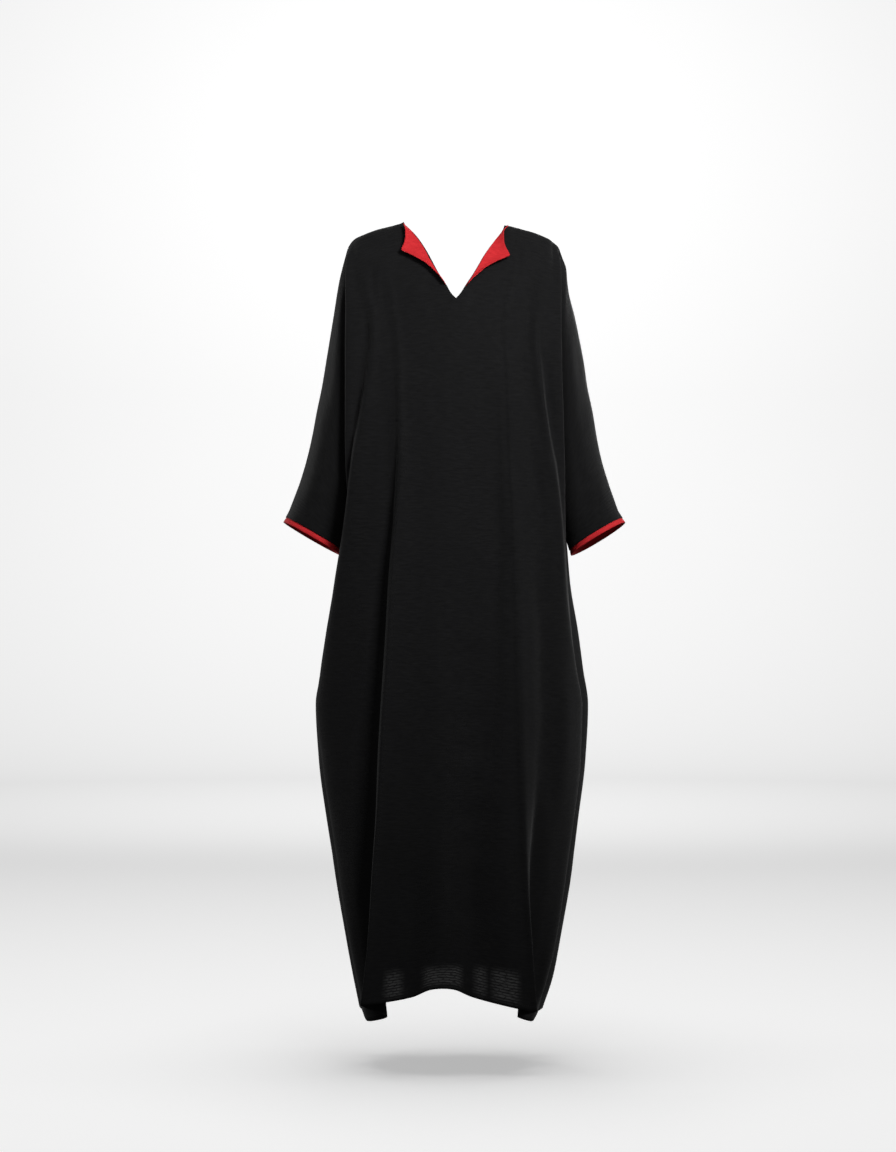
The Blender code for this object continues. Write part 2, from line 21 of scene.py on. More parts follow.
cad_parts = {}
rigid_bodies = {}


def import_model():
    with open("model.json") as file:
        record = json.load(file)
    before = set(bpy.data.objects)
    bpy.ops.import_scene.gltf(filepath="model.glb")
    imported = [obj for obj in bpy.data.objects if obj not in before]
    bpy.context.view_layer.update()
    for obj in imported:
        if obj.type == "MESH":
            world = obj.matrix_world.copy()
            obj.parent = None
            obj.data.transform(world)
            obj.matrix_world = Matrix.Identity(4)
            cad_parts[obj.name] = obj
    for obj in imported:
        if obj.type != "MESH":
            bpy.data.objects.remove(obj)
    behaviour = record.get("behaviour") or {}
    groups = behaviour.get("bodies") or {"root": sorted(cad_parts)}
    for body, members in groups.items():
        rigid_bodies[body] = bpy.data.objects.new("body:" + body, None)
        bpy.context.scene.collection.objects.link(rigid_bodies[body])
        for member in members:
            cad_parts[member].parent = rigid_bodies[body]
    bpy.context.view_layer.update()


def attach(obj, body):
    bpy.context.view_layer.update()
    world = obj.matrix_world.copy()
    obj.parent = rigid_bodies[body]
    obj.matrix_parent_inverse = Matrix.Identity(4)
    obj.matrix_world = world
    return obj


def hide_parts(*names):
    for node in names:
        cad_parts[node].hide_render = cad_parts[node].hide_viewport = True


log = logging.getLogger("dress")

Point = tuple[float, float]
Row = tuple[float, ...]

# Sizes of the cut, in millimetres
CLOTH = 1.2            # thickness of one layer of cloth
SEAM_GAP = 0.3         # space between a facing and the cloth that it lies on
SEAM_LINE = 0.05       # space between the front and the back along a sewn seam
SEAM_EDGE = 2.0        # width of the flat edge along a seam
HEM_FOLD = 9.0         # height of the stitches above the hem
PAINTED_BACKLIGHT_TOP = -1309.0    # height where the painted rows of light through the cloth near the hem begin, at the centre
PAINTED_BACKLIGHT_RANGES = ((-118, -90), (-52, 12), (38, 56), (68, 112))   # where the painted light shows, across
SHOULDER_END = 380.0   # level where the slope of the shoulder has run out
HEM_START = 1130.0     # level where the rows begin to follow the hem
HEM_LEVEL = 1352.0     # level of the hem at the centre
NECK_LEVEL = 143.0     # level of the bottom of the neck slit
UNDERARM_LEVEL = 332.0 # level of the bottom of the armhole
CROSSOVER = 130.0      # level from which the inner folds of the back are those of the other half
BACK_PLEAT = 0.5       # depth of the pleats of the back, as a share of the front's
# Depth of the back by level, as a share of the front's
BACK_DEPTH = ((0, 0.80), (332, 0.80), (560, 0.85), (861, 0.88), (1352, 0.98))
BACK_SIDE = (1, -0.95, 1)   # turns a point of the front's side into the back's
ONE_BAND = 0.314       # scale of a wave texture that gives one band for each unit
# Height of the hem at the inner fold lines of the back, from the soft ridge out
BACK_HEM = (-1350, -1352, -1366, -1384, -1404)

# Levels below the shoulder seam where the rows of cloth begin, some of them divided further
ROWS = (0, 3, 10, 22, 40, 64, 92, 118, 131, 143, 175, 210, 250, 285, 312, 326, 332, 352, 395, 445,
        495, 540, 590, 645, 715, 785, 830, 866, 910, 980, 1055, 1130, 1215, 1290, 1330, 1352)
ROW_STEP = 6.0         # most height between two rows of the cloth
# Lines of cloth from each fold to the next, from the centre out
FRONT_STEPS = (11, 8, 6, 5, 5, 5, 8, 7, 5, 8, 6, 6)
BACK_STEPS = (11, 8, 8, 8, 10, 10, 10, 7, 6)
# Levels below the shoulder seam of the numbers in the fold tables
LEVELS = (0, 4, 14, 32, 60, 95, 120, 136, 143, 200, 260, 300, 332, 380, 440, 500, 560, 640, 730,
          800, 861, 960, 1060, 1160, 1260, 1310, 1352)


class Side(Enum):
    """Half of the dress, as seen from the front."""

    LEFT = -1
    RIGHT = 1

    @property
    def other(self) -> "Side":
        """The opposite half."""
        return Side.RIGHT if self is Side.LEFT else Side.LEFT

    @property
    def word(self) -> str:
        """The half's name in piece names."""
        return self.name.lower()


@dataclass(frozen=True)
class Fold:
    """A fold line from the shoulder seam to the hem, with its place at each of the levels."""

    name: str
    top: float   # height at the shoulder seam
    hem: float   # height at the hem
    xs: Row      # distance from the middle of the dress, across
    ys: Row      # distance towards the front


@dataclass(frozen=True)
class Crease:
    """A soft crease in a panel: a ridge stands out, a trough lies in."""

    name: str
    path: tuple[Point, ...]   # x and height of its points
    width: float              # distance from the path at which a third of it is left
    depth: float              # how far it stands out, or in where it is negative

    def relief(self, x: np.ndarray, z: np.ndarray) -> np.ndarray:
        """How far the crease moves the cloth out at each place.

        Args:
            x: Places across, in millimetres.
            z: Heights, in millimetres.

        Returns:
            The outward shift at each place, in millimetres.
        """
        nearest = np.full(x.shape, 1e9)
        along = np.zeros(x.shape)
        total = sum(math.dist(a, b) for a, b in zip(self.path, self.path[1:]))
        run = 0.0
        for start, end in zip(self.path, self.path[1:]):
            long = math.dist(start, end)
            way = ((end[0] - start[0]) / long, (end[1] - start[1]) / long)
            raw = (x - start[0]) * way[0] + (z - start[1]) * way[1]
            t = np.clip(raw, 0, long)
            gap = np.hypot(x - start[0] - way[0] * t, z - start[1] - way[1] * t)
            closer = gap < nearest
            nearest = np.where(closer, gap, nearest)
            along = np.where(closer, (run + t) / total, along)
            run += long
        taper = np.sin(np.pi * np.clip(along, 0.0, 1.0)) ** 0.6
        uneven = 1 + 0.18 * np.sin(z / 23.0 + self.path[0][0]) + 0.1 * np.sin(z / 9.0 + self.width)
        return self.depth * taper * uneven * np.exp(-((nearest / self.width) ** 2))


# Fold lines of each half, from the centre of the front to the side seam and on to the back
LEFT_FOLDS = (
    Fold("neck", 3, -1350.5,
         (89, 87.5, 77.5, 62.5, 45.5, 27.5, 12, 3, -4, -2, -1, -1, -1, -1, 0, 0, 0, 0, 0, 0, 0, 0,
          0, 0, 0, 0, 0),
         (0, 6, 12, 27, 48, 67, 80, 86.5, 89, 101, 109, 113, 116, 118, 122, 125, 129, 133, 138,
          141, 143, 145, 142, 136, 126, 119.5, 114)),
    Fold("soft_ridge", 0, -1350,
         (95, 94, 90.5, 87, 76, 58, 41, 32.5, 31, 27, 28, 29, 29, 30, 30, 31, 31, 30, 29, 28, 27,
          25, 23, 23, 27, 32.5, 38),
         (0, 8, 15, 25, 43, 62, 75, 82.5, 85, 99, 109, 114, 117, 120, 123, 126, 130, 134, 140,
          143, 144, 147, 146, 141, 130, 123, 117)),
    Fold("soft_valley", -3, -1366,
         (106, 105, 105, 104, 97, 85, 73.5, 67.5, 66, 61, 60, 60, 60, 61, 63, 65, 66, 68, 70, 71,
          72, 74, 73, 71, 71, 72.5, 74),
         (0, 8, 15, 25, 41, 59, 71.5, 78.5, 81, 95, 105, 111, 114, 117, 121, 124, 128, 133, 138,
          140, 140, 140, 139, 129, 117, 110, 104)),
    Fold("pleat_edge", -8, -1378,
         (126, 125, 123, 122, 119, 114, 110.5, 108, 107, 99, 94, 94, 93, 92, 93, 98, 103, 109,
          114, 118, 123, 128, 134, 142, 150, 156, 162),
         (0, 8, 15, 26, 43, 59, 68.5, 74, 76, 92, 103, 109, 112, 116, 121, 125, 130, 135, 140,
          143, 144, 143, 137, 129, 119, 114, 110)),
    Fold("pleat_valley", -11, -1406,
         (137, 135, 134, 132, 131, 129, 126.5, 124, 123, 111, 106, 103, 101, 101, 101, 105, 108,
          113, 118, 123, 126, 131, 132, 132, 127, 122, 117),
         (0, 8, 16, 26, 43, 57, 65, 70, 72, 87, 98, 103, 106, 108, 109, 108, 105, 104, 106, 108,
          108, 108, 103, 93, 82, 75.5, 70)),
    Fold("roll", -17.5, -1415,
         (155, 154, 153, 152, 150, 145, 139, 135.5, 134, 126, 128, 130, 131, 134, 139, 144, 150,
          155, 161, 166, 172, 178, 178, 174, 159, 147.5, 137),
         (0, 8, 15, 25, 42, 56, 65.5, 71, 73, 87, 96, 99, 102, 103, 103, 102, 100, 98, 96, 95, 93,
          88, 81, 71, 63, 59, 56)),
    Fold("hip_fold", -26, -1419,
         (173, 172, 172, 170, 165, 156, 149.5, 146, 145, 141, 147, 154, 160, 168, 179, 187, 195,
          208, 222, 233, 241, 231, 217, 201, 180, 166, 153),
         (0, 8, 15, 27, 42, 58, 68, 74, 76, 90, 97, 100, 101, 101, 99, 94, 88, 80, 70, 62, 53, 47,
          45, 43, 41, 39.5, 38)),
    Fold("hip_valley", -28.5, -1415,
         (177, 177, 178, 177, 175, 170, 164, 160, 159, 153, 158, 163, 168, 175, 181, 184, 190,
          205, 220, 232, 239, 228, 215, 199, 179, 167.5, 158),
         (0, 6, 13, 24, 39, 53, 63, 69, 71, 82, 87, 89, 89, 88, 85, 79, 70, 60, 47, 39, 33, 27,
          25, 24, 24, 24, 24)),
    Fold("side_edge", -33, -1410,
         (182, 183, 185, 190, 191, 191, 190.5, 190, 190, 190, 190, 190, 190, 190, 189, 186, 187,
          202, 217, 228, 237, 226, 212, 196, 177, 168, 161),
         (0, 5, 11, 24, 39, 53, 60.5, 64.5, 66, 77, 83, 85, 85, 84, 80, 71, 56, 42, 32, 25, 19,
          15, 14, 13, 12, 12, 12)),
    Fold("side_wall", -37.5, -1406,
         (185, 186, 187, 188, 188, 188, 187.5, 187, 187, 187, 184, 178, 173, 171, 171, 172, 179,
          197, 215, 226, 233, 224, 210, 194, 176, 168.5, 163),
         (0, 4, 8, 17, 33, 47, 54.5, 58.5, 60, 71, 74, 69, 63, 59, 54, 46, 35, 26, 18, 14, 10, 8,
          7, 6, 6, 6, 6)),
    Fold("seam", -42.5, -1403,
         (188, 188, 188, 187, 187, 186, 186, 186, 186, 185, 180, 174, 167, 166, 166, 166, 175,
          194, 213, 224, 231, 223, 209, 193, 175, 169, 164),
         (0, 3, 8, 17, 29, 39, 46, 50.5, 52, 62, 61, 45, 0, 0, 0, 0, 0, 0, 0, 0, 0, 0, 0, 0, 0, 0,
          0)),
    Fold("back_crest", -27, -1405,
         (176, 175, 174, 173, 166, 159, 159.5, 160, 160, 164, 168, 170, 174, 180, 186, 192, 199,
          212, 225, 237, 248, 243, 230, 213, 192, 180, 169),
         (0, 12, 23, 35, 50, 63, 70, 74, 75, 81, 85, 86, 87, 87, 86, 85, 81, 75, 65, 57, 51, 47,
          45, 44, 42, 40, 38)),
)

RIGHT_FOLDS = (
    Fold("neck", -3, -1350.5,
         (91, 90, 86.5, 73, 54.5, 35.5, 20, 10.5, 4, 2, 1, 1, 1, 1, 0, 0, 0, 0, 0, 0, 0, 0, 0, 0,
          0, 0, 0),
         (0, 7, 14, 30, 51, 70, 81.5, 88, 90, 101, 109, 113, 116, 118, 122, 125, 129, 133, 138,
          141, 143, 145, 142, 136, 126, 119.5, 114)),
    Fold("soft_ridge", -4, -1364,
         (98, 95, 93, 89, 77, 60, 46, 39.5, 39, 46, 63, 70, 73, 74, 74, 74, 74, 73, 69, 64, 60,
          56, 47, 37, 32, 31, 30),
         (0, 9, 17, 28, 47, 64, 76, 82.5, 85, 98, 106, 109, 111, 114, 117, 120, 124, 128, 133,
          137, 138, 139, 136, 128, 117, 111, 106)),
    Fold("soft_valley", -6, -1381,
         (107, 105, 104, 101, 96, 86, 76, 71.5, 71, 71, 78, 81, 82, 84, 86, 88, 89, 89, 89, 89,
          88, 87, 87, 88, 92, 93.5, 95),
         (0, 9, 18, 29, 45, 62, 73.5, 79.5, 82, 96, 105, 109, 112, 115, 119, 123, 126, 131, 136,
          140, 141, 142, 140, 133, 122, 115.5, 110)),
    Fold("pleat_edge", -8, -1389,
         (115, 115, 114, 113, 111, 106, 100.5, 97, 96, 92, 95, 96, 97, 98, 100, 104, 107, 109,
          112, 114, 116, 119, 123, 128, 137, 141.5, 145),
         (0, 9, 17, 28, 44, 60, 71, 77.5, 80, 94, 104, 109, 112, 115, 120, 125, 130, 134, 139,
          142, 143, 142, 137, 129, 118, 113, 109)),
    Fold("pleat_valley", -11, -1406,
         (125, 124, 122, 122, 123, 122, 118.5, 116.5, 116, 115, 121, 125, 128, 133, 140, 149, 152,
          152, 153, 152, 152, 149, 140, 130, 120, 116, 113),
         (0, 9, 17, 28, 43, 57, 67, 73, 75, 87, 95, 98, 100, 101, 101, 101, 101, 102, 104, 106,
          106, 106, 102, 93, 83, 76, 70)),
    Fold("roll", -17, -1414,
         (146, 145, 144, 143, 142, 137, 134.5, 133.5, 133, 131, 135, 139, 143, 149, 157, 167, 172,
          175, 178, 185, 193, 191, 179, 167, 148, 136.5, 126),
         (0, 8, 16, 27, 41, 56, 64.5, 69, 71, 85, 94, 97, 98, 100, 102, 101, 99, 98, 98, 97, 94,
          89, 81, 72, 64, 59.5, 56)),
    Fold("hip_fold", -28.5, -1419,
         (172, 172, 172, 172, 169, 160, 154, 151, 150, 145, 150, 155, 160, 167, 176, 185, 190,
          195, 204, 215, 226, 223, 212, 197, 176, 157, 139),
         (0, 8, 15, 27, 43, 60, 68.5, 73, 75, 90, 97, 100, 101, 102, 102, 98, 95, 89, 81, 70, 58,
          51, 48, 45, 43, 41.5, 40)),
    Fold("hip_valley", -32, -1416,
         (176, 176, 177, 177, 177, 172, 166.5, 163, 162, 156, 160, 164, 168, 174, 182, 188, 193,
          199, 207, 217, 226, 223, 212, 196, 176, 159.5, 144),
         (0, 6, 12, 24, 40, 55, 63.5, 68, 70, 81, 86, 88, 88, 88, 87, 83, 77, 68, 57, 47, 38, 31,
          29, 28, 27, 26.5, 26)),
    Fold("side_edge", -36, -1412,
         (181, 183, 185, 189, 190, 190, 189.5, 189, 189, 189, 190, 191, 192, 193, 195, 196, 197,
          201, 209, 217, 225, 222, 211, 195, 176, 161.5, 148),
         (0, 5, 11, 23, 39, 53, 60.5, 64.5, 66, 77, 83, 85, 85, 84, 80, 72, 60, 47, 35, 28, 22,
          16, 15, 14, 13, 13, 13)),
    Fold("side_wall", -39.5, -1407,
         (185, 186, 187, 188, 188, 187, 186.5, 186, 186, 186, 184, 178, 176, 175, 176, 178, 185,
          195, 206, 215, 223, 220, 209, 194, 175, 162.5, 151),
         (0, 4, 8, 17, 32, 47, 54.5, 58.5, 60, 71, 74, 69, 63, 59, 54, 46, 37, 28, 20, 14, 10, 8,
          7, 7, 7, 6.5, 6)),
    Fold("seam", -42, -1405,
         (187, 188, 188, 187, 186, 185, 185, 185, 185, 184, 180, 176, 170, 169, 170, 173, 181,
          194, 204, 213, 221, 218, 207, 192, 173, 162, 152),
         (0, 3, 8, 17, 29, 40, 46.5, 50.5, 52, 62, 61, 45, 0, 0, 0, 0, 0, 0, 0, 0, 0, 0, 0, 0, 0,
          0, 0)),
    Fold("back_crest", -30, -1408,
         (173, 175, 177, 178, 172, 165, 165.5, 166, 166, 168, 170, 173, 176, 182, 189, 197, 204,
          211, 225.5, 234.5, 243, 238, 226, 212.5, 191, 178.5, 160.5),
         (0, 13, 24, 36, 51, 64, 70.5, 74, 75, 81, 85, 86, 87, 87, 86, 85, 81, 75, 65, 57, 51, 47,
          45, 44, 42, 40, 38)),
)

# Armhole to cuff: x and height of the outer and of the inner line of each sleeve
SLEEVE_LINES = {
    Side.LEFT: {
        "outer":
            ((188, -43), (192, -57), (198, -79), (203, -100), (207, -122), (214, -165),
             (221, -208), (228, -251), (235, -293), (244, -336), (252, -379), (262, -422),
             (275, -465), (291, -508), (300, -526), (304, -534)),
        "inner":
            ((167, -337), (173, -369), (176, -422), (181, -476), (188, -530), (198, -575),
             (202, -592.5)),
    },
    Side.RIGHT: {
        "outer":
            ((187, -43), (192, -57), (200, -79), (202, -100), (205, -122), (216, -165),
             (225, -208), (233, -251), (239, -293), (248, -336), (255, -379), (264, -422),
             (277, -465), (291, -508), (303, -528), (307, -535)),
        "inner":
            ((170, -338), (175, -369), (178, -422), (183, -476), (191, -530), (205, -575),
             (210.5, -592.5)),
    },
}
CUFF_TILT = {Side.LEFT: 4.0, Side.RIGHT: 7.0}

# Neck facing: x and height of points on the fold at the neck edge and on the free edge
FACING_ROWS = {
    Side.LEFT:
        ((82, -9, 90, -8), (74, -18, 86.5, -17), (68, -26, 85, -25), (62.5, -33, 84.5, -33),
         (57.5, -41, 86, -44), (52.5, -49, 91, -57), (47.5, -59, 81.5, -63), (43, -69, 71, -68),
         (38.5, -77, 62.5, -73), (34, -85, 54.5, -77), (29, -94, 46, -83), (23.5, -103, 37, -91),
         (19.5, -109, 29.5, -99), (16.5, -114, 22, -107), (13.5, -119, 15.5, -116)),
    Side.RIGHT:
        ((89.5, -13, 97, -12), (86.5, -18, 94, -17), (82, -24, 90.5, -21.5), (75.5, -32, 88, -32),
         (69, -41, 89, -46), (63, -50, 97.5, -67.5), (56.5, -60, 92, -71), (51.5, -68, 87, -74),
         (47.5, -76, 79, -77), (42, -86, 71, -80.5), (36.5, -96, 62.5, -84.5),
         (32, -104, 53, -90), (27, -112, 42, -100), (23, -118, 32, -109),
         (20.5, -122, 23.5, -119)),
}

FOLDS = {Side.LEFT: LEFT_FOLDS, Side.RIGHT: RIGHT_FOLDS}
ROOT_LEVELS = np.sqrt(np.array(LEVELS, float))

FRONT_CREASES = (
    Crease("shoulder_tuck_left", ((-99, -9), (-99, -73)), 4, -1.2),
    Crease("shoulder_trough_left", ((-143, -72), (-140, -152)), 6, -1.5),
    Crease("shoulder_ridge_left", ((-133, -58), (-135, -177)), 7, 1.2),
    Crease("shoulder_trough_right", ((117, -32), (115, -129)), 5, -1.5),
    Crease("shoulder_tuck_right", ((156, -34), (154, -90)), 5, -1.2),
    Crease("shoulder_ridge_right", ((136, -79), (138, -180)), 7, 1.2),
    Crease("chest_trough_left", ((-121, -306), (-114, -445), (-109, -576)), 11, -2.0),
    Crease("chest_ridge_left", ((-93, -289), (-90, -463), (-86, -620)), 14, 1.5),
    Crease("waist_trough_right", ((75, -359), (77, -602), (74, -845), (67, -1019)), 14, -1.7),
    Crease("waist_ridge_right", ((96, -429), (94, -672), (94, -880)), 14, 1.0),
    Crease("hem_trough_right", ((35, -1070), (32, -1191), (32, -1339)), 11, -1.8),
    Crease("hem_ridge_right", ((91, -1097), (92, -1331)), 11, 1.2),
    Crease("skirt_hollow_right", ((35, -741), (32, -949), (27, -1140), (28, -1339)), 36, -8.0),
    Crease("valley_ridge_right", ((140, -654), (145, -828), (152, -1020), (159, -1176)), 16, 4.0),
    Crease("hem_trough_left", ((-69, -1139), (-70, -1338)), 11, -1.4),
    Crease("skirt_ridge_left", ((-103, -966), (-105, -1121)), 14, 1.0),
    Crease("leaf_fold_right", ((168, -1281), (161, -1334), (154, -1385)), 7, 1.5),
    Crease("underarm_trough_left", ((-153, -147), (-155, -217), (-166, -295), (-175, -374)), 7, -4.0),
    Crease("underarm_trough_right", ((160, -234), (167, -322), (176, -427)), 6, -3.5),
    Crease("hip_trough_left", ((-178, -742), (-182, -952), (-178, -1127)), 14, -2.0),
    Crease("hip_ridge_left", ((-212, -672), (-223, -848), (-216, -1024)), 13, 1.5),
    Crease("hip_trough_right", ((156, -602), (163, -812), (160, -1022)), 14, -2.0),
    Crease("hip_ridge_right", ((191, -743), (198, -883), (191, -1059)), 11, 1.5),
)

BACK_CREASES = (
    Crease("nape_trough_left", ((-118, -12), (-112, -95)), 5, -1.4),
    Crease("nape_ridge_left", ((-128, -50), (-126, -190)), 8, 1.3),
    Crease("blade_trough_left", ((-146, -85), (-139, -230)), 8, -1.8),
    Crease("nape_trough_right", ((112, -20), (109, -110)), 5, -1.4),
    Crease("blade_ridge_right", ((131, -70), (127, -210)), 8, 1.3),
    Crease("blade_trough_right", ((150, -60), (144, -190)), 7, -1.6),
    Crease("back_trough_centre", ((6, -210), (-4, -420), (3, -610)), 16, -1.6),
    Crease("waist_ridge_back_left", ((-62, -330), (-66, -560), (-60, -760)), 14, 1.7),
    Crease("waist_trough_back_right", ((58, -380), (66, -590), (61, -830)), 14, -2.2),
    Crease("seat_ridge_back_right", ((90, -470), (95, -700), (90, -930)), 12, 1.6),
    Crease("skirt_trough_back_left", ((-44, -900), (-48, -1110), (-42, -1330)), 13, -1.8),
    Crease("skirt_ridge_back_centre", ((14, -960), (20, -1150), (16, -1300)), 14, 1.5),
    Crease("skirt_trough_back_right", ((70, -1030), (74, -1200), (70, -1335)), 11, -1.6),
    Crease("hip_trough_back_left", ((-165, -660), (-176, -880), (-170, -1080)), 14, -1.9),
    Crease("hip_trough_back_right", ((160, -620), (172, -850), (165, -1060)), 14, -1.9),
)

SLEEVE_CREASES = {
    Side.LEFT: (
        Crease("crown_trough_left", ((-205, -130), (-226, -330)), 7, -1.3),
        Crease("elbow_ridge_left", ((-222, -300), (-246, -440), (-262, -520)), 10, 1.4),
        Crease("elbow_trough_left", ((-205, -330), (-222, -450), (-236, -545)), 9, -1.6),
        Crease("cuff_ridge_left", ((-208, -440), (-214, -560)), 8, 1.2),
    ),
    Side.RIGHT: (
        Crease("crown_trough_right", ((208, -140), (228, -320)), 7, -1.3),
        Crease("elbow_ridge_right", ((230, -290), (254, -430), (272, -520)), 10, 1.4),
        Crease("elbow_trough_right", ((206, -340), (226, -460), (244, -545)), 9, -1.6),
        Crease("cuff_ridge_right", ((212, -430), (219, -560)), 8, 1.2),
    ),
}


def curve_through(xs: Row, ys: Row, at: np.ndarray) -> np.ndarray:
    """Values of the smooth curve through the points, which never overshoots them.

    Args:
        xs: Places of the points, rising.
        ys: Values at those places.
        at: Places where the curve is read.

    Returns:
        The curve's value at each place.
    """
    places, values = np.asarray(xs, float), np.asarray(ys, float)
    run = np.diff(places)
    slope = np.diff(values) / run
    tangent = np.empty_like(values)
    tangent[0], tangent[-1] = slope[0], slope[-1]
    h0, h1, d0, d1 = run[:-1], run[1:], slope[:-1], slope[1:]
    level = d0 * d1 <= 0
    safe0, safe1 = np.where(level, 1.0, d0), np.where(level, 1.0, d1)
    inner = 3 * (h0 + h1) / ((2 * h1 + h0) / safe0 + (h1 + 2 * h0) / safe1)
    tangent[1:-1] = np.where(level, 0.0, inner)
    at = np.clip(np.asarray(at, float), places[0], places[-1])
    i = np.clip(np.searchsorted(places, at, side="right") - 1, 0, len(places) - 2)
    h = run[i]
    t = (at - places[i]) / h
    return ((2 * t**3 - 3 * t**2 + 1) * values[i] + (t**3 - 2 * t**2 + t) * h * tangent[i]
            + (3 * t**2 - 2 * t**3) * values[i + 1] + (t**3 - t**2) * h * tangent[i + 1])


def fold_line(fold: Fold, levels: np.ndarray, side: Side) -> np.ndarray:
    """Points of a fold line of the front.

    Args:
        fold: The fold's table.
        levels: Levels below the shoulder seam.
        side: The half that the fold is in.

    Returns:
        One point for each level, in millimetres.
    """
    end = NECK_LEVEL if fold.name == "neck" else SHOULDER_END
    root = np.sqrt(levels)
    z = np.where(levels < end, fold.top - levels * (1 + fold.top / end), -levels)
    low = -HEM_START + (levels - HEM_START) * (fold.hem + HEM_START) / (HEM_LEVEL - HEM_START)
    z = np.where(levels > HEM_START, low, z)
    x = side.value * curve_through(ROOT_LEVELS, fold.xs, root)
    return np.stack([x, -curve_through(ROOT_LEVELS, fold.ys, root), z], axis=1)


def centre_line(levels: np.ndarray, own: np.ndarray) -> np.ndarray:
    """The centre line, which both halves share below the neck slit.

    Args:
        levels: Levels below the shoulder seam.
        own: The half's own neck line.

    Returns:
        The half's own line above the bottom of the slit, and the shared one below.
    """
    both = [fold_line(FOLDS[side][0], levels, side) for side in Side]
    return np.where((levels >= NECK_LEVEL)[:, None], (both[0] + both[1]) / 2, own)


def front_folds(side: Side, levels: np.ndarray) -> list[np.ndarray]:
    """Fold lines of half of the front, from the centre to the side seam.

    Args:
        side: The half.
        levels: Levels below the shoulder seam.

    Returns:
        Thirteen lines, each with one point for each level.
    """
    line = {fold.name: fold_line(fold, levels, side) for fold in FOLDS[side]}
    line["neck"] = centre_line(levels, line["neck"])
    edge, valley = line["pleat_edge"], line["pleat_valley"]
    step = np.clip((valley[:, 1] - edge[:, 1]) / 30, 0.0, 1.0)
    lean = np.minimum(11.0, np.abs(edge[:, 0] - line["soft_valley"][:, 0]) * 0.4)
    none = np.zeros_like(step)
    before = edge + np.stack([-side.value * lean, 1.5 * step, none], axis=1)
    wall = edge + 0.42 * (valley - edge) + np.stack([side.value * 2.5 * step, none, none], axis=1)
    inner = [line[name] for name in ("neck", "soft_ridge", "soft_valley")]
    outer = [line[name] for name in ("roll", "hip_fold", "hip_valley", "side_edge", "side_wall", "seam")]
    return [*inner, before, edge, wall, valley, *outer]


def back_folds(side: Side, levels: np.ndarray) -> list[np.ndarray]:
    """Fold lines of half of the back, from the centre to the side seam.

    Args:
        side: The half.
        levels: Levels below the shoulder seam.

    Returns:
        Ten lines, each with one point for each level.
    """
    depth = curve_through([row[0] for row in BACK_DEPTH], [row[1] for row in BACK_DEPTH], levels)
    turn = np.stack([np.ones_like(depth), -depth, np.ones_like(depth)], axis=1)
    own = {fold.name: fold_line(fold, levels, side) for fold in FOLDS[side]}
    far = {fold.name: fold_line(fold, levels, side.other) for fold in FOLDS[side.other]}
    share = np.minimum(1.0, levels / CROSSOVER)[:, None]
    inner = {name: own[name] * turn * (1 - share) + far[name] * turn * (-1, 1, 1) * share
             for name in own}
    edge, valley, roll = inner["pleat_edge"], inner["pleat_valley"], inner["roll"]
    chord = (edge + roll) / 2
    chord[:, 1] = np.maximum(chord[:, 1], valley[:, 1])
    valley = valley * BACK_PLEAT + chord * (1 - BACK_PLEAT)
    neck = centre_line(levels, own["neck"]) * turn
    past = np.maximum(0.0, 1 - np.maximum(0.0, levels - NECK_LEVEL) / 200)
    neck[:, 2] -= 9 * np.minimum(1.0, levels / NECK_LEVEL) * past
    crest = own["back_crest"] * (1, -1, 1)
    outer = [own[name] * BACK_SIDE for name in ("side_edge", "side_wall", "seam")]
    lines = [neck, inner["soft_ridge"], inner["soft_valley"], edge, valley, roll, crest, *outer]
    low = levels > HEM_START
    share = (levels - HEM_START) / (HEM_LEVEL - HEM_START)
    for line, drop in zip(lines[1:6], BACK_HEM):
        line[:, 2] = np.where(low, -HEM_START + share * (drop + HEM_START), line[:, 2])
    return lines


def knot(p: np.ndarray, q: np.ndarray) -> np.ndarray:
    """Step of the spline's parameter from one line of points to the next."""
    return np.sqrt(np.maximum(1e-3, np.linalg.norm(q - p, axis=1)))[:, None]


def between_folds(chain: list[np.ndarray], steps: tuple[int, ...]) -> np.ndarray:
    """Lines of cloth on the smooth surface through the fold lines.

    Args:
        chain: The fold lines, with one more before the first and one after the last.
        steps: How many lines of cloth from each fold to the next.

    Returns:
        Points as rows by columns by three.
    """
    made = []
    for i, count in enumerate(steps):
        p0, p1, p2, p3 = chain[i:i + 4]
        t1 = knot(p0, p1)
        t2 = t1 + knot(p1, p2)
        t3 = t2 + knot(p2, p3)
        for k in range(count):
            t = t1 + (t2 - t1) * k / count
            a1 = (t1 - t) / t1 * p0 + t / t1 * p1
            a2 = (t2 - t) / (t2 - t1) * p1 + (t - t1) / (t2 - t1) * p2
            a3 = (t3 - t) / (t3 - t2) * p2 + (t - t2) / (t3 - t2) * p3
            b1 = (t2 - t) / t2 * a1 + t / t2 * a2
            b2 = (t3 - t) / (t3 - t1) * a2 + (t - t1) / (t3 - t1) * a3
            made.append((t2 - t) / (t2 - t1) * b1 + (t - t1) / (t2 - t1) * b2)
    made.append(chain[-2])
    return np.stack(made, axis=1)


def cloth_normals(grid: np.ndarray, outward: np.ndarray) -> np.ndarray:
    """Outward direction at each point of a grid of cloth.

    Args:
        grid: Points as rows by columns by three.
        outward: A direction that most of the cloth faces.

    Returns:
        Directions of length one.
    """
    normals = np.cross(np.gradient(grid, axis=1), np.gradient(grid, axis=0))
    normals /= np.maximum(1e-9, np.linalg.norm(normals, axis=2))[:, :, None]
    return normals if (normals @ outward).mean() > 0 else -normals


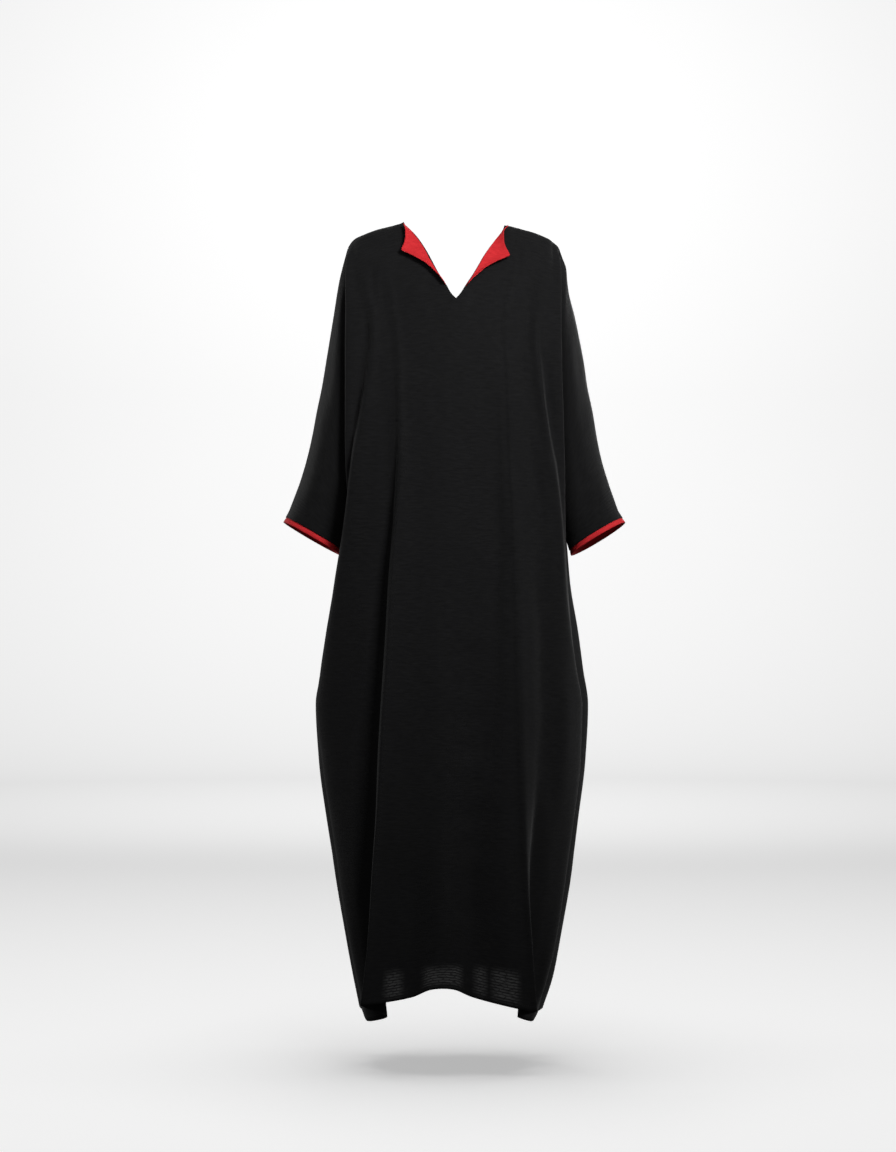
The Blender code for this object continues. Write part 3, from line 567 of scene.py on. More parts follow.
def add_cloth(shape: bmesh.types.BMesh, grid: np.ndarray, uv: np.ndarray,
              masks: dict[str, np.ndarray]) -> None:
    """Adds a grid of cloth to a mesh, with its own measures across and along as the UV map.

    Args:
        shape: The mesh that is being made.
        grid: Points as rows by columns by three, in millimetres.
        uv: Measures across and along the cloth, in metres.
        masks: Values at each point, by the name of the attribute.
    """
    rows, columns = grid.shape[:2]
    places = shape.loops.layers.uv.get("cloth") or shape.loops.layers.uv.new("cloth")
    layers = {name: shape.verts.layers.float.get(name) or shape.verts.layers.float.new(name)
              for name in masks}
    made = bmesh.ops.create_grid(shape, x_segments=columns - 1, y_segments=rows - 1, size=1.0)
    seat = {}
    for vert in made["verts"]:
        column = round((vert.co.x + 1) / 2 * (columns - 1))
        row = round((1 - vert.co.y) / 2 * (rows - 1))
        seat[vert] = (row, column)
    faces = {face for vert in made["verts"] for face in vert.link_faces}
    for vert, (row, column) in seat.items():
        vert.co = grid[row, column] / 1000
        for name, layer in layers.items():
            vert[layer] = float(masks[name][row, column])
    for face in faces:
        for loop in face.loops:
            loop[places].uv = uv[seat[loop.vert]]


def new_piece(name: str, shape: bmesh.types.BMesh, material: bpy.types.Material) -> bpy.types.Object:
    """Makes a smooth object of a mesh, in one finish, and puts it in the scene.

    Args:
        name: Name of the piece.
        shape: Its mesh, which is used up.
        material: Its finish.

    Returns:
        The piece, at the origin.
    """
    bmesh.ops.recalc_face_normals(shape, faces=shape.faces)
    mesh = bpy.data.meshes.new(name)
    shape.to_mesh(mesh)
    shape.free()
    mesh.shade_smooth()
    mesh.materials.append(material)
    piece = bpy.data.objects.new(name, mesh)
    bpy.context.scene.collection.objects.link(piece)
    return piece


def finish_cloth(name: str, shape: bmesh.types.BMesh, material: bpy.types.Material) -> bpy.types.Object:
    """Makes the object of a piece of cloth and gives it its thickness.

    Args:
        name: Name of the piece.
        shape: Its mesh, one layer.
        material: Its finish.

    Returns:
        The piece, at the origin.
    """
    bmesh.ops.remove_doubles(shape, verts=shape.verts, dist=0.00002)
    piece = new_piece(name, shape, material)
    wall = piece.modifiers.new("cloth thickness", "SOLIDIFY")
    wall.thickness = CLOTH / 1000
    wall.offset = 0
    wall.use_even_offset = True
    wall.use_quality_normals = True
    log.info("%s: %d points", name, len(piece.data.vertices))
    return piece


def cloth_without_backlight(name: str, grid: np.ndarray, material: bpy.types.Material) -> bpy.types.Object:
    """Makes a piece of one grid of cloth, with no painted light through it anywhere.

    Args:
        name: Name of the piece.
        grid: Points as rows by columns by three, in millimetres.
        material: Its finish.

    Returns:
        The piece, at the origin.
    """
    shape = bmesh.new()
    add_cloth(shape, grid, measures(grid), {"painted_backlight": np.zeros(grid.shape[:2])})
    return finish_cloth(name, shape, material)


def measures(grid: np.ndarray) -> np.ndarray:
    """Measures across each row and down the middle column of a grid, in metres.

    Args:
        grid: Points as rows by columns by three, in millimetres.

    Returns:
        The two measures at each point.
    """
    across = np.linalg.norm(np.diff(grid, axis=1), axis=2)
    across = np.concatenate([np.zeros((len(grid), 1)), np.cumsum(across, axis=1)], axis=1)
    down = np.linalg.norm(np.diff(grid[:, grid.shape[1] // 2], axis=0), axis=1)
    down = np.concatenate([[0.0], np.cumsum(down)])[:, None] * np.ones((1, grid.shape[1]))
    return np.stack([across, -down], axis=2) / 1000


def linear(code: str) -> tuple[float, float, float, float]:
    """Linear colour of an sRGB hex value such as "#1b1b1c"."""
    parts = [int(code[i:i + 2], 16) / 255 for i in (1, 3, 5)]
    made = [c / 12.92 if c <= 0.04045 else ((c + 0.055) / 1.055) ** 2.4 for c in parts]
    return (made[0], made[1], made[2], 1.0)


def add_node(tree: bpy.types.NodeTree, kind: str, settings: dict[str, object],
             links: dict[str, bpy.types.NodeSocket]) -> bpy.types.Node:
    """Adds a node with its settings and links.

    Args:
        tree: The material's nodes.
        kind: The node's type.
        settings: Values by the name of a property, or of an input socket or its number.
        links: Outputs of other nodes, by the input socket's name or number.

    Returns:
        The node.
    """
    node = tree.nodes.new(kind)
    for name, value in settings.items():
        if hasattr(node, name) and not name.isdigit():
            setattr(node, name, value)
        else:
            node.inputs[int(name) if name.isdigit() else name].default_value = value
    for name, socket in links.items():
        tree.links.new(socket, node.inputs[int(name) if name.isdigit() else name])
    return node


def plain_shader(name: str, settings: dict[str, object]) -> tuple[bpy.types.Material, bpy.types.Node]:
    """A new material and its shader, with the shader's own values set.

    Args:
        name: The material's name.
        settings: Values by the shader's socket.

    Returns:
        The material and its shader node.
    """
    material = bpy.data.materials.new(name)
    material.use_nodes = True
    shader = material.node_tree.nodes["Principled BSDF"]
    for socket, value in settings.items():
        shader.inputs[socket].default_value = value
    return material, shader


@dataclass(frozen=True)
class CrinkledCrepe:
    """Woven crepe of hard-twisted yarn, with a fine crinkle that runs across the cloth.

    The twist breaks up the surface, so it is matt. The crests of the crinkles are painted lighter and their
    hollows darker: a painted highlight and painted shade.
    """

    name: str
    base: str
    # crest and hollow are the painted highlight on the crinkles' crests and the painted shade in their
    # hollows
    crest: str
    hollow: str
    roughness: float
    gloss: float
    sheen: float
    crinkle_mm: float = 3.4      # height of one crinkle
    crinkle_run_mm: float = 17.0 # how far it runs across
    thread_mm: float = 1.6       # thread spacing, drawn three times as coarse as the real one
    slub_mm: float = 70.0        # size of the slow changes of shade
    backlight_row_mm: float = 5.8    # rows of painted light through the cloth near the hem
    backlight_run_mm: float = 14.0   # length of one painted dash of light
    # colour of the painted light that shows through the cloth near the hem
    backlight_colour: str = "#5a5a5a"

    def make(self) -> bpy.types.Material:
        """Builds the material.

        Returns:
            The material.
        """
        material, shader = plain_shader(self.name, {
            "Roughness": self.roughness, "Specular IOR Level": self.gloss,
            "Sheen Weight": self.sheen, "Sheen Roughness": 0.5})
        tree = material.node_tree
        cloth = add_node(tree, "ShaderNodeUVMap", {"uv_map": "cloth"}, {}).outputs["UV"]
        crinkle_at = add_node(tree, "ShaderNodeMapping", {
            "Scale": (1000 / self.crinkle_run_mm, 1000 / self.crinkle_mm, 1)}, {"Vector": cloth})
        crinkle = add_node(tree, "ShaderNodeTexNoise", {
            "Scale": 1.0, "Detail": 3.0, "Roughness": 0.55, "Distortion": 0.6},
            {"Vector": crinkle_at.outputs[0]})
        thread_at = add_node(tree, "ShaderNodeMapping", {
            "Scale": (1000 / self.thread_mm, 1000 / self.thread_mm, 1)}, {"Vector": cloth})
        weft, warp = (add_node(tree, "ShaderNodeTexWave", {
            "bands_direction": axis, "Scale": ONE_BAND, "Distortion": 1.2, "Detail": 1.0},
            {"Vector": thread_at.outputs[0]}) for axis in "YX")
        weave = add_node(tree, "ShaderNodeMath", {"operation": "MULTIPLY"},
                         {"0": weft.outputs["Fac"], "1": warp.outputs["Fac"]})
        slub_at = add_node(tree, "ShaderNodeMapping", {
            "Scale": (1000 / self.slub_mm, 300 / self.slub_mm, 1)}, {"Vector": cloth})
        slub = add_node(tree, "ShaderNodeTexNoise", {
            "Scale": 1.0, "Detail": 2.0, "Roughness": 0.5}, {"Vector": slub_at.outputs[0]})
        relief = add_node(tree, "ShaderNodeMath", {"operation": "MULTIPLY_ADD", "1": 0.35},
                          {"0": weave.outputs[0], "2": crinkle.outputs["Fac"]})
        bump = add_node(tree, "ShaderNodeBump", {"Strength": 0.8, "Distance": 0.0008},
                        {"Height": relief.outputs[0]})
        # Painted highlight on the crests of the crinkles and painted shade in their hollows, read from the
        # same noise as the bump
        shade = add_node(tree, "ShaderNodeValToRGB", {}, {"Fac": crinkle.outputs["Fac"]})
        shade.color_ramp.elements[0].position = 0.30
        shade.color_ramp.elements[0].color = linear(self.hollow)
        shade.color_ramp.elements[1].position = 0.72
        shade.color_ramp.elements[1].color = linear(self.crest)
        depth = add_node(tree, "ShaderNodeMapRange", {
            "1": 0.3, "2": 0.7, "3": 0.35, "4": 0.65}, {"Value": slub.outputs["Fac"]})
        mixed = add_node(tree, "ShaderNodeMix", {"data_type": "RGBA", "6": linear(self.base)},
                         {"0": depth.outputs[0], "7": shade.outputs["Color"]})
        # Painted light through the cloth near the hem: rows of lighter dashes where the attribute is set
        backlight_at = add_node(tree, "ShaderNodeMapping", {"Scale": (1000, 1000, 1)}, {"Vector": cloth})
        uneven = add_node(tree, "ShaderNodeVectorMath", {"operation": "MULTIPLY_ADD", "1": (26.0, 4.0, 0.0)},
                          {"0": crinkle.outputs["Color"], "2": backlight_at.outputs[0]})
        backlight_dashes = add_node(tree, "ShaderNodeTexBrick", {
            "offset": 0.5, "squash": 1.0, "Scale": 1.0, "Mortar Size": 1.7, "Mortar Smooth": 0.9,
            "Brick Width": self.backlight_run_mm, "Row Height": self.backlight_row_mm},
            {"Vector": uneven.outputs[0]})
        painted_backlight = add_node(tree, "ShaderNodeAttribute", {"attribute_name": "painted_backlight"}, {})
        lit = add_node(tree, "ShaderNodeMath", {"operation": "SUBTRACT", "0": 1.0, "use_clamp": True},
                       {"1": backlight_dashes.outputs["Fac"]})
        backlight_share = add_node(tree, "ShaderNodeMath", {"operation": "MULTIPLY"},
                        {"0": lit.outputs[0], "1": painted_backlight.outputs["Fac"]})
        patch = add_node(tree, "ShaderNodeMath", {"operation": "MULTIPLY"},
                         {"0": backlight_share.outputs[0], "1": crinkle.outputs["Fac"]})
        final = add_node(tree, "ShaderNodeMix", {"data_type": "RGBA", "7": linear(self.backlight_colour)},
                         {"0": patch.outputs[0], "6": mixed.outputs[2]})
        tree.links.new(final.outputs[2], shader.inputs["Base Color"])
        tree.links.new(bump.outputs["Normal"], shader.inputs["Normal"])
        return material


@dataclass(frozen=True)
class TwistedThread:
    """Smooth sewing thread, a little glossier than the crepe and shaded along its twist."""

    name: str
    base: str
    dark: str
    twist_mm: float = 0.5

    def make(self) -> bpy.types.Material:
        """Builds the material.

        Returns:
            The material.
        """
        material, shader = plain_shader(self.name, {"Roughness": 0.55, "Specular IOR Level": 0.35})
        tree = material.node_tree
        place = add_node(tree, "ShaderNodeTexCoord", {}, {}).outputs["Object"]
        fine = add_node(tree, "ShaderNodeMapping", {
            "Scale": (1000 / self.twist_mm,) * 3, "Rotation": (0.5, 0.4, 0.0)}, {"Vector": place})
        twist = add_node(tree, "ShaderNodeTexWave", {"Scale": ONE_BAND, "Distortion": 0.5},
                         {"Vector": fine.outputs[0]})
        shade = add_node(tree, "ShaderNodeValToRGB", {}, {"Fac": twist.outputs["Fac"]})
        shade.color_ramp.elements[0].color = linear(self.dark)
        shade.color_ramp.elements[1].color = linear(self.base)
        tree.links.new(shade.outputs["Color"], shader.inputs["Base Color"])
        return material


@dataclass(frozen=True)
class SmoothPaper:
    """Matt pale paper of the studio floor and wall, with no pattern, lit a little from behind."""

    name: str
    base: str
    glow: float

    def make(self) -> bpy.types.Material:
        """Builds the material.

        Returns:
            The material.
        """
        material, _ = plain_shader(self.name, {
            "Base Color": linear(self.base), "Roughness": 0.9, "Specular IOR Level": 0.1,
            "Emission Color": linear("#ffffff"), "Emission Strength": self.glow})
        return material


@dataclass(frozen=True)
class StitchRun:
    """A run of small stitches that lie half sunk in the outer face of the cloth."""

    name: str
    length: float = 2.5    # one stitch
    space: float = 0.9     # cloth between two stitches
    thickness: float = 0.5

    def make(self, line: np.ndarray, outward: np.ndarray, material: bpy.types.Material) -> bpy.types.Object:
        """Builds and dresses the stitches.

        Args:
            line: Points on the outer face of the cloth, in millimetres.
            outward: Outward direction at each point.
            material: Finish of the thread.

        Returns:
            The piece.
        """
        run = np.concatenate([[0.0], np.cumsum(np.linalg.norm(np.diff(line, axis=0), axis=1))])
        shape = bmesh.new()
        for middle in np.arange(self.length, run[-1] - self.length, self.length + self.space):
            ends = [np.array([np.interp(middle + d, run, line[:, k]) for k in range(3)])
                    for d in (-self.length / 2, self.length / 2)]
            away = Vector([np.interp(middle, run, outward[:, k]) for k in range(3)]).normalized()
            along = Vector(ends[1] - ends[0]).normalized()
            side = away.cross(along).normalized()
            turn = Matrix((along, side, along.cross(side))).transposed().to_4x4()
            size = Matrix.Diagonal((self.length / 2000, self.thickness / 2000, self.thickness / 2000, 1))
            centre = Matrix.Translation(Vector((ends[0] + ends[1]) / 2000))
            bmesh.ops.create_icosphere(shape, subdivisions=1, radius=1.0, matrix=centre @ turn @ size)
        piece = new_piece(self.name, shape, material)
        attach(piece, "root")
        log.info("%s: %d faces", self.name, len(piece.data.polygons))
        return piece


@dataclass
class Panel:
    """The front or the back of the dress, from the shoulder seams to the hem."""

    part: str
    creases: tuple[Crease, ...]
    steps: tuple[int, ...]
    flat: tuple[float, float]   # widest and longest of its cut, in metres
    area: float                 # area of its cut, in square metres

    @property
    def outward(self) -> np.ndarray:
        """Direction that the panel faces."""
        return np.array((0, -1 if self.part == "front" else 1, 0))

    def levels(self) -> np.ndarray:
        """Levels of the rows of cloth, closer where the shape turns faster."""
        made = [0.0]
        for a, b in zip(ROWS, ROWS[1:]):
            count = max(2, math.ceil((b - a) / ROW_STEP))
            made += [a + (b - a) * k / count for k in range(1, count + 1)]
        return np.array(made)

    def half(self, side: Side) -> np.ndarray:
        """Grid of cloth of one half, before its creases.

        Args:
            side: The half.

        Returns:
            Points as rows by columns by three, from the centre to the side seam.
        """
        here, there = (front_folds, back_folds) if self.part == "front" else (back_folds, front_folds)
        levels = self.levels()
        lines = here(side, levels)
        slit, sleeve = (levels < NECK_LEVEL)[:, None], (levels < UNDERARM_LEVEL)[:, None]
        before = np.where(slit, 2 * lines[0] - lines[1], here(side.other, levels)[1])
        after = np.where(sleeve, 2 * lines[-1] - lines[-2], there(side, levels)[-2])
        grid = between_folds([before, *lines, after], self.steps)
        # Way in from the side seam, along the surface that goes on round it
        tangent = -((lines[-1] - lines[-2]) / knot(lines[-2], lines[-1])
                    - (after - lines[-2]) / (knot(lines[-2], lines[-1]) + knot(lines[-1], after))
                    + (after - lines[-1]) / knot(lines[-1], after))
        inward = np.where(sleeve, grid[:, -2] - grid[:, -1], tangent)
        inward /= np.linalg.norm(inward, axis=1)[:, None]
        room = 0.45 * np.linalg.norm(grid[:, -2] - grid[:, -1], axis=1)[:, None]
        edge = grid[:, -1] + inward * np.minimum(SEAM_EDGE, room)
        seam = grid[:, -1] + inward * SEAM_LINE / 2
        grid = np.concatenate([grid[:, :-1], edge[:, None], seam[:, None]], axis=1)
        top = grid[0] + self.outward * SEAM_LINE / 2
        below = grid[0] + self.outward * SEAM_EDGE + (0, 0, -0.1)
        return np.concatenate([top[None], below[None], grid[1:]], axis=0)

    def pressed(self, grid: np.ndarray) -> np.ndarray:
        """The half with its creases pressed in, flat again at its seams.

        Args:
            grid: Points of the half.

        Returns:
            The moved points.
        """
        normals = cloth_normals(grid, self.outward)
        # Both halves move the same way on the centre line, and hold still at the other edges
        normals[:, 0] = self.outward
        shift = sum(crease.relief(grid[:, :, 0], grid[:, :, 2]) for crease in self.creases)
        # A slow unevenness of a quarter of a millimetre
        shift += 0.25 * np.sin(grid[:, :, 2] / 31 + grid[:, :, 0] / 47) * np.sin(grid[:, :, 0] / 19)
        across = np.arange(grid.shape[1])[::-1]
        down = np.arange(grid.shape[0])
        hold = np.clip((across - 3) / 8, 0, 1)[None] * np.clip((down - 2) / 6, 0, 1)[:, None]
        return grid + normals * (shift * hold)[:, :, None]

    def painted_backlight(self, grid: np.ndarray) -> np.ndarray:
        """How much painted light through the cloth there is at each point: rows of lighter dashes near the
        hem.

        Args:
            grid: Points of the half.

        Returns:
            Values from 0 to 1.
        """
        x, z = grid[:, :, 0], grid[:, :, 2]
        above = z - grid[-1:, :, 2]
        band = np.clip((PAINTED_BACKLIGHT_TOP - 0.001 * x**2 - z) / 14 + 0.4, 0, 1) * np.clip(above / 10 - 0.3, 0, 1)
        across = np.zeros_like(x)
        for low, high in PAINTED_BACKLIGHT_RANGES:
            across = np.maximum(across, np.clip(np.minimum(x - low, high - x) / 12 + 0.5, 0, 1))
        return band * across

    def hem_line(self, grids: list[np.ndarray], above: float) -> tuple[np.ndarray, np.ndarray]:
        """A line on the outer face of the cloth at one distance above the hem, from seam to seam.

        Args:
            grids: Points of the two halves.
            above: Distance from the hem, in millimetres.

        Returns:
            Points of the line, and the outward direction at each.
        """
        lines, faces = [], []
        for grid in grids:
            up = grid[::-1]
            run = np.cumsum(np.linalg.norm(np.diff(up[:6], axis=0), axis=2), axis=0)
            first = np.argmax(run >= above, axis=0)
            column = np.arange(grid.shape[1])
            far = run[first, column]
            near = np.where(first > 0, run[first - 1, column], 0.0)
            share = ((above - near) / (far - near))[:, None]
            normals = cloth_normals(grid, self.outward)[::-1]
            normal = normals[first, column]
            lines.append(up[first, column] * (1 - share) + up[first + 1, column] * share
                         + normal * CLOTH / 2)
            faces.append(normal)
        return (np.concatenate([lines[0][::-1], lines[1][1:]]),
                np.concatenate([faces[0][::-1], faces[1][1:]]))

    def make(self, material: bpy.types.Material, thread: bpy.types.Material) -> list[bpy.types.Object]:
        """Builds and dresses the panel.

        Args:
            material: Its finish.
            thread: Finish of the thread of its hem.

        Returns:
            The panel and the stitches of its hem.
        """
        shape = bmesh.new()
        grids = [self.pressed(self.half(side)) for side in Side]
        for side, grid in zip(Side, grids):
            uv = measures(grid) * (side.value, 1)
            add_cloth(shape, grid, uv, {"painted_backlight": self.painted_backlight(grid)})
        piece = finish_cloth("crepe_" + self.part, shape, material)
        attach(piece, "root")
        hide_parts(self.part)
        line, outward = self.hem_line(grids, HEM_FOLD)
        return [piece, StitchRun("stitches_hem_" + self.part).make(line, outward, thread)]


@dataclass
class Arm:
    """A sleeve and the red facing at its cuff, as tubes from the armhole to the rim."""

    side: Side
    outer: tuple[Point, ...]
    inner: tuple[Point, ...]
    tilt: float
    # Half the depth of the sleeve, by share of its length
    depths: tuple[Point, ...] = ((0.0, 66), (0.35, 65), (0.7, 58), (1.0, 45))
    set_in: float = 0.34      # share of its length over which it leaves the armhole's form
    tilt_from: float = 0.6    # share of its length from which its front rises
    near_rim: float = 400.0   # length that a distance from the rim is a share of
    round_count: int = 120
    sleeve_rings: int = 96
    band: float = 9.5      # height of the red band that shows
    tuck: float = 15.0     # height of the facing inside the sleeve, above the band
    inset: float = 1.6     # distance of the middle of the sleeve's wall from the armhole's edge
    out: Point = (0.9, 0.9)  # how far its edge lies outside, at the top and more at the underarm
    flat: tuple[float, float] = (0.40, 0.51)
    area: float = 0.115

    def armhole(self) -> np.ndarray:
        """Points round the armhole, from its top down the front and up the back."""
        half = self.round_count // 2
        rows = [level for level in ROWS if level <= UNDERARM_LEVEL]
        places = np.arange(len(rows)) / (len(rows) - 1) * half
        levels = curve_through(tuple(places), rows, np.arange(half + 1))
        down = fold_line(FOLDS[self.side][-2], levels, self.side)
        return np.concatenate([down, (down[1:-1] * BACK_SIDE)[::-1]])

    def rail(self, rows: tuple[Point, ...], share: float | None = None, from_rim: float = 0.0) -> np.ndarray:
        """A point of the sleeve's outer or inner line.

        Args:
            rows: The line's own points.
            share: Share of its length, or none where from_rim is given.
            from_rim: Distance from the rim.

        Returns:
            The point, in millimetres.
        """
        run = np.concatenate([[0.0], np.cumsum([math.dist(a, b) for a, b in zip(rows, rows[1:])])])
        at = np.array([share * run[-1] if share is not None else run[-1] - from_rim])
        x = curve_through(tuple(run), [row[0] for row in rows], at)[0]
        z = curve_through(tuple(run), [row[1] for row in rows], at)[0]
        return np.array((self.side.value * x, 0.0, z))

    def oval(self, outer: np.ndarray, inner: np.ndarray, share: float) -> np.ndarray:
        """Points round the sleeve, an oval from its outer to its inner line, the front first.

        Args:
            outer: The outermost point.
            inner: The innermost point.
            share: Share of the sleeve's length.

        Returns:
            One point for each place round.
        """
        depth = curve_through([row[0] for row in self.depths], [row[1] for row in self.depths],
                              np.array([share]))[0]
        bulge = np.array((self.side.value * 10, 0, -8)) * (1 - share) ** 2
        tilt = self.tilt * max(0.0, (share - self.tilt_from) / (1 - self.tilt_from))
        turn = 2 * math.pi * np.arange(self.round_count) / self.round_count
        cos, sin = np.cos(turn)[:, None], np.sin(turn)[:, None]
        return ((outer + inner) / 2 + cos * (outer - inner) / 2 + sin**2 * bulge
                + sin * np.array((0, -depth, tilt)))

    def ring(self, share: float) -> np.ndarray:
        """Points round the sleeve, set into the armhole near its top.

        Args:
            share: Share of the sleeve's length.

        Returns:
            One point for each place round.
        """
        ring = self.oval(self.rail(self.outer, share), self.rail(self.inner, share), share)
        if share >= self.set_in:
            return ring
        hole = self.armhole()
        plain = self.oval(self.rail(self.outer, 0.0), self.rail(self.inner, 0.0), 0.0)
        move = hole.mean(axis=0) - hole
        move[:, 0] = 0
        move *= self.inset / np.linalg.norm(move, axis=1)[:, None]
        turn = math.pi * np.arange(self.round_count) / self.round_count
        move[:, 0] = self.side.value * (self.out[0] + self.out[1] * np.sin(turn) ** 2)
        return ring + (1 - share / self.set_in) ** 2 * (hole - plain + move)

    def rim_ring(self, from_rim: float, inwards: float = 0.0) -> np.ndarray:
        """Points round the sleeve near its rim.

        Args:
            from_rim: Distance from the rim.
            inwards: How far the points are moved in from the middle of the sleeve's wall.

        Returns:
            One point for each place round.
        """
        share = 1 - from_rim / self.near_rim
        ring, above = (self.oval(self.rail(self.outer, None, at), self.rail(self.inner, None, at), share)
                       for at in (from_rim, from_rim + 5))
        middle = ring.mean(axis=0)
        inward = np.cross(np.roll(ring, -1, axis=0) - np.roll(ring, 1, axis=0), middle - above.mean(axis=0))
        inward /= np.linalg.norm(inward, axis=1)[:, None]
        sign = np.where(np.sum(inward * (middle - ring), axis=1) < 0, -1, 1)[:, None]
        return ring + inward * sign * inwards

    def tube(self, name: str, rings: list[np.ndarray], creases: tuple[Crease, ...],
             material: bpy.types.Material) -> bpy.types.Object:
        """A tube of cloth through the rings, open at both ends.

        Args:
            name: Name of the piece.
            rings: Its rings, from the top down.
            creases: Creases that are pressed into it.
            material: Its finish.

        Returns:
            The piece.
        """
        grid = np.stack([np.concatenate([ring, ring[:1]]) for ring in rings])
        if creases:
            normals = cloth_normals(grid, np.array((0, -1.0, 0)))
            away = grid - grid.mean(axis=1, keepdims=True)
            normals *= np.where(np.sum(normals * away, axis=2) < 0, -1, 1)[:, :, None]
            normals[:, -1] = normals[:, 0]
            shift = sum(crease.relief(grid[:, :, 0], grid[:, :, 2]) for crease in creases)
            shift *= np.where(grid[:, :, 1] < 0, 1.0, -0.8)
            shift *= np.clip(np.abs(grid[:, :, 1]) / 18, 0, 1)
            row = np.arange(len(grid))
            ends = np.clip(np.minimum(row / 14, row[::-1] / 6), 0, 1)
            grid = grid + normals * (shift * ends[:, None])[:, :, None]
        return cloth_without_backlight(name, grid, material)

    def make(self, black: bpy.types.Material, red: bpy.types.Material,
             thread: bpy.types.Material) -> list[bpy.types.Object]:
        """Builds and dresses the sleeve and its cuff.

        Args:
            black: Finish of the sleeve.
            red: Finish of the cuff's facing.
            thread: Finish of the thread above the cuff.

        Returns:
            The two pieces and the stitches above the cuff.
        """
        # Rings are closer at the armhole, and the last ones keep their distance from the rim
        shares = np.concatenate([np.linspace(0, 0.1, 18)[:-1],
                                 np.linspace(0.1, 0.86, self.sleeve_rings - 28)])
        rings = [self.ring(float(share)) for share in shares]
        last, rim = rings[-1], self.rim_ring(self.band + self.tuck)
        rings += [last + (rim - last) * k / 5 for k in range(1, 5)]
        rings += [self.rim_ring(self.band + self.tuck * (1 - k / 5)) for k in range(6)]
        sleeve = self.tube("crepe_sleeve_" + self.side.word, rings, SLEEVE_CREASES[self.side], black)
        fold = CLOTH + SEAM_GAP
        steps = [(self.band + self.tuck * (1 - k / 5), fold) for k in range(6)]
        steps[-1] = (self.band - 1, fold)
        steps += [(self.band * 0.78, 1.0), (self.band * 0.55, 0.5), (self.band * 0.28, 0.2)]
        steps += [(0.6, 0.0), (0.0, 0.3)]
        cuff = self.tube("red_cuff_" + self.side.word, [self.rim_ring(*step) for step in steps], (), red)
        for piece, node, slot, flat, area, held in (
                (sleeve, "sleeve_" + self.side.word, "black_crepe", self.flat, self.area, "hung"),
                (cuff, "cuff_" + self.side.word, "red_crepe", (0.335, 0.0245), 0.0082, "folded")):
            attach(piece, "root")
            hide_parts(node)
        place = self.rim_ring(self.band + 2.2, -CLOTH / 2)
        outward = place - self.rim_ring(self.band + 2.2)
        stitches = StitchRun("stitches_cuff_" + self.side.word)
        return [sleeve, cuff, stitches.make(place, outward, thread)]


@dataclass
class NeckFacing:
    """A red facing turned out at the neck slit, lying on the front and lifting to its free edge."""

    side: Side
    rows: tuple[Row, ...]
    columns: int = 22
    lift: float = 9.0      # how far its free edge stands off
    clear: float = 1.9     # room for its own wall and the front's
    flat: tuple[float, float] = (0.045, 0.16)

    def make(self, front: bpy.types.Object, material: bpy.types.Material) -> bpy.types.Object:
        """Builds and dresses the facing.

        Args:
            front: The panel that it lies on.
            material: Its finish.

        Returns:
            The piece.
        """
        mesh = front.data
        tree = BVHTree.FromPolygons([vert.co for vert in mesh.vertices],
                                    [tuple(face.vertices) for face in mesh.polygons])
        table = np.array(self.rows, float)
        places = np.arange(len(table))
        at = np.linspace(0, len(table) - 1, 64)
        fine = np.stack([curve_through(tuple(places), table[:, k], at) for k in range(4)], axis=1)
        grid = np.zeros((len(fine), self.columns, 3))
        for r, (x0, z0, x1, z1) in enumerate(fine):
            for k in range(self.columns):
                share = k / (self.columns - 1)
                x = self.side.value * (x0 + (x1 - x0) * share) / 1000
                z = (z0 + (z1 - z0) * share) / 1000
                hit, normal, _, _ = tree.ray_cast(Vector((x, -0.5, z)), Vector((0, 1, 0)))
                if hit is None:
                    hit, normal, _, _ = tree.find_nearest(Vector((x, -0.02, z)))
                if normal.y > 0:
                    normal = -normal
                away = self.clear + SEAM_GAP + self.lift * share**1.3
                grid[r, k] = np.array(hit) * 1000 + np.array(normal) * away
        piece = cloth_without_backlight("red_neck_facing_" + self.side.word, grid, material)
        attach(piece, "root")
        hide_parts("neck_facing_" + self.side.word)
        return piece


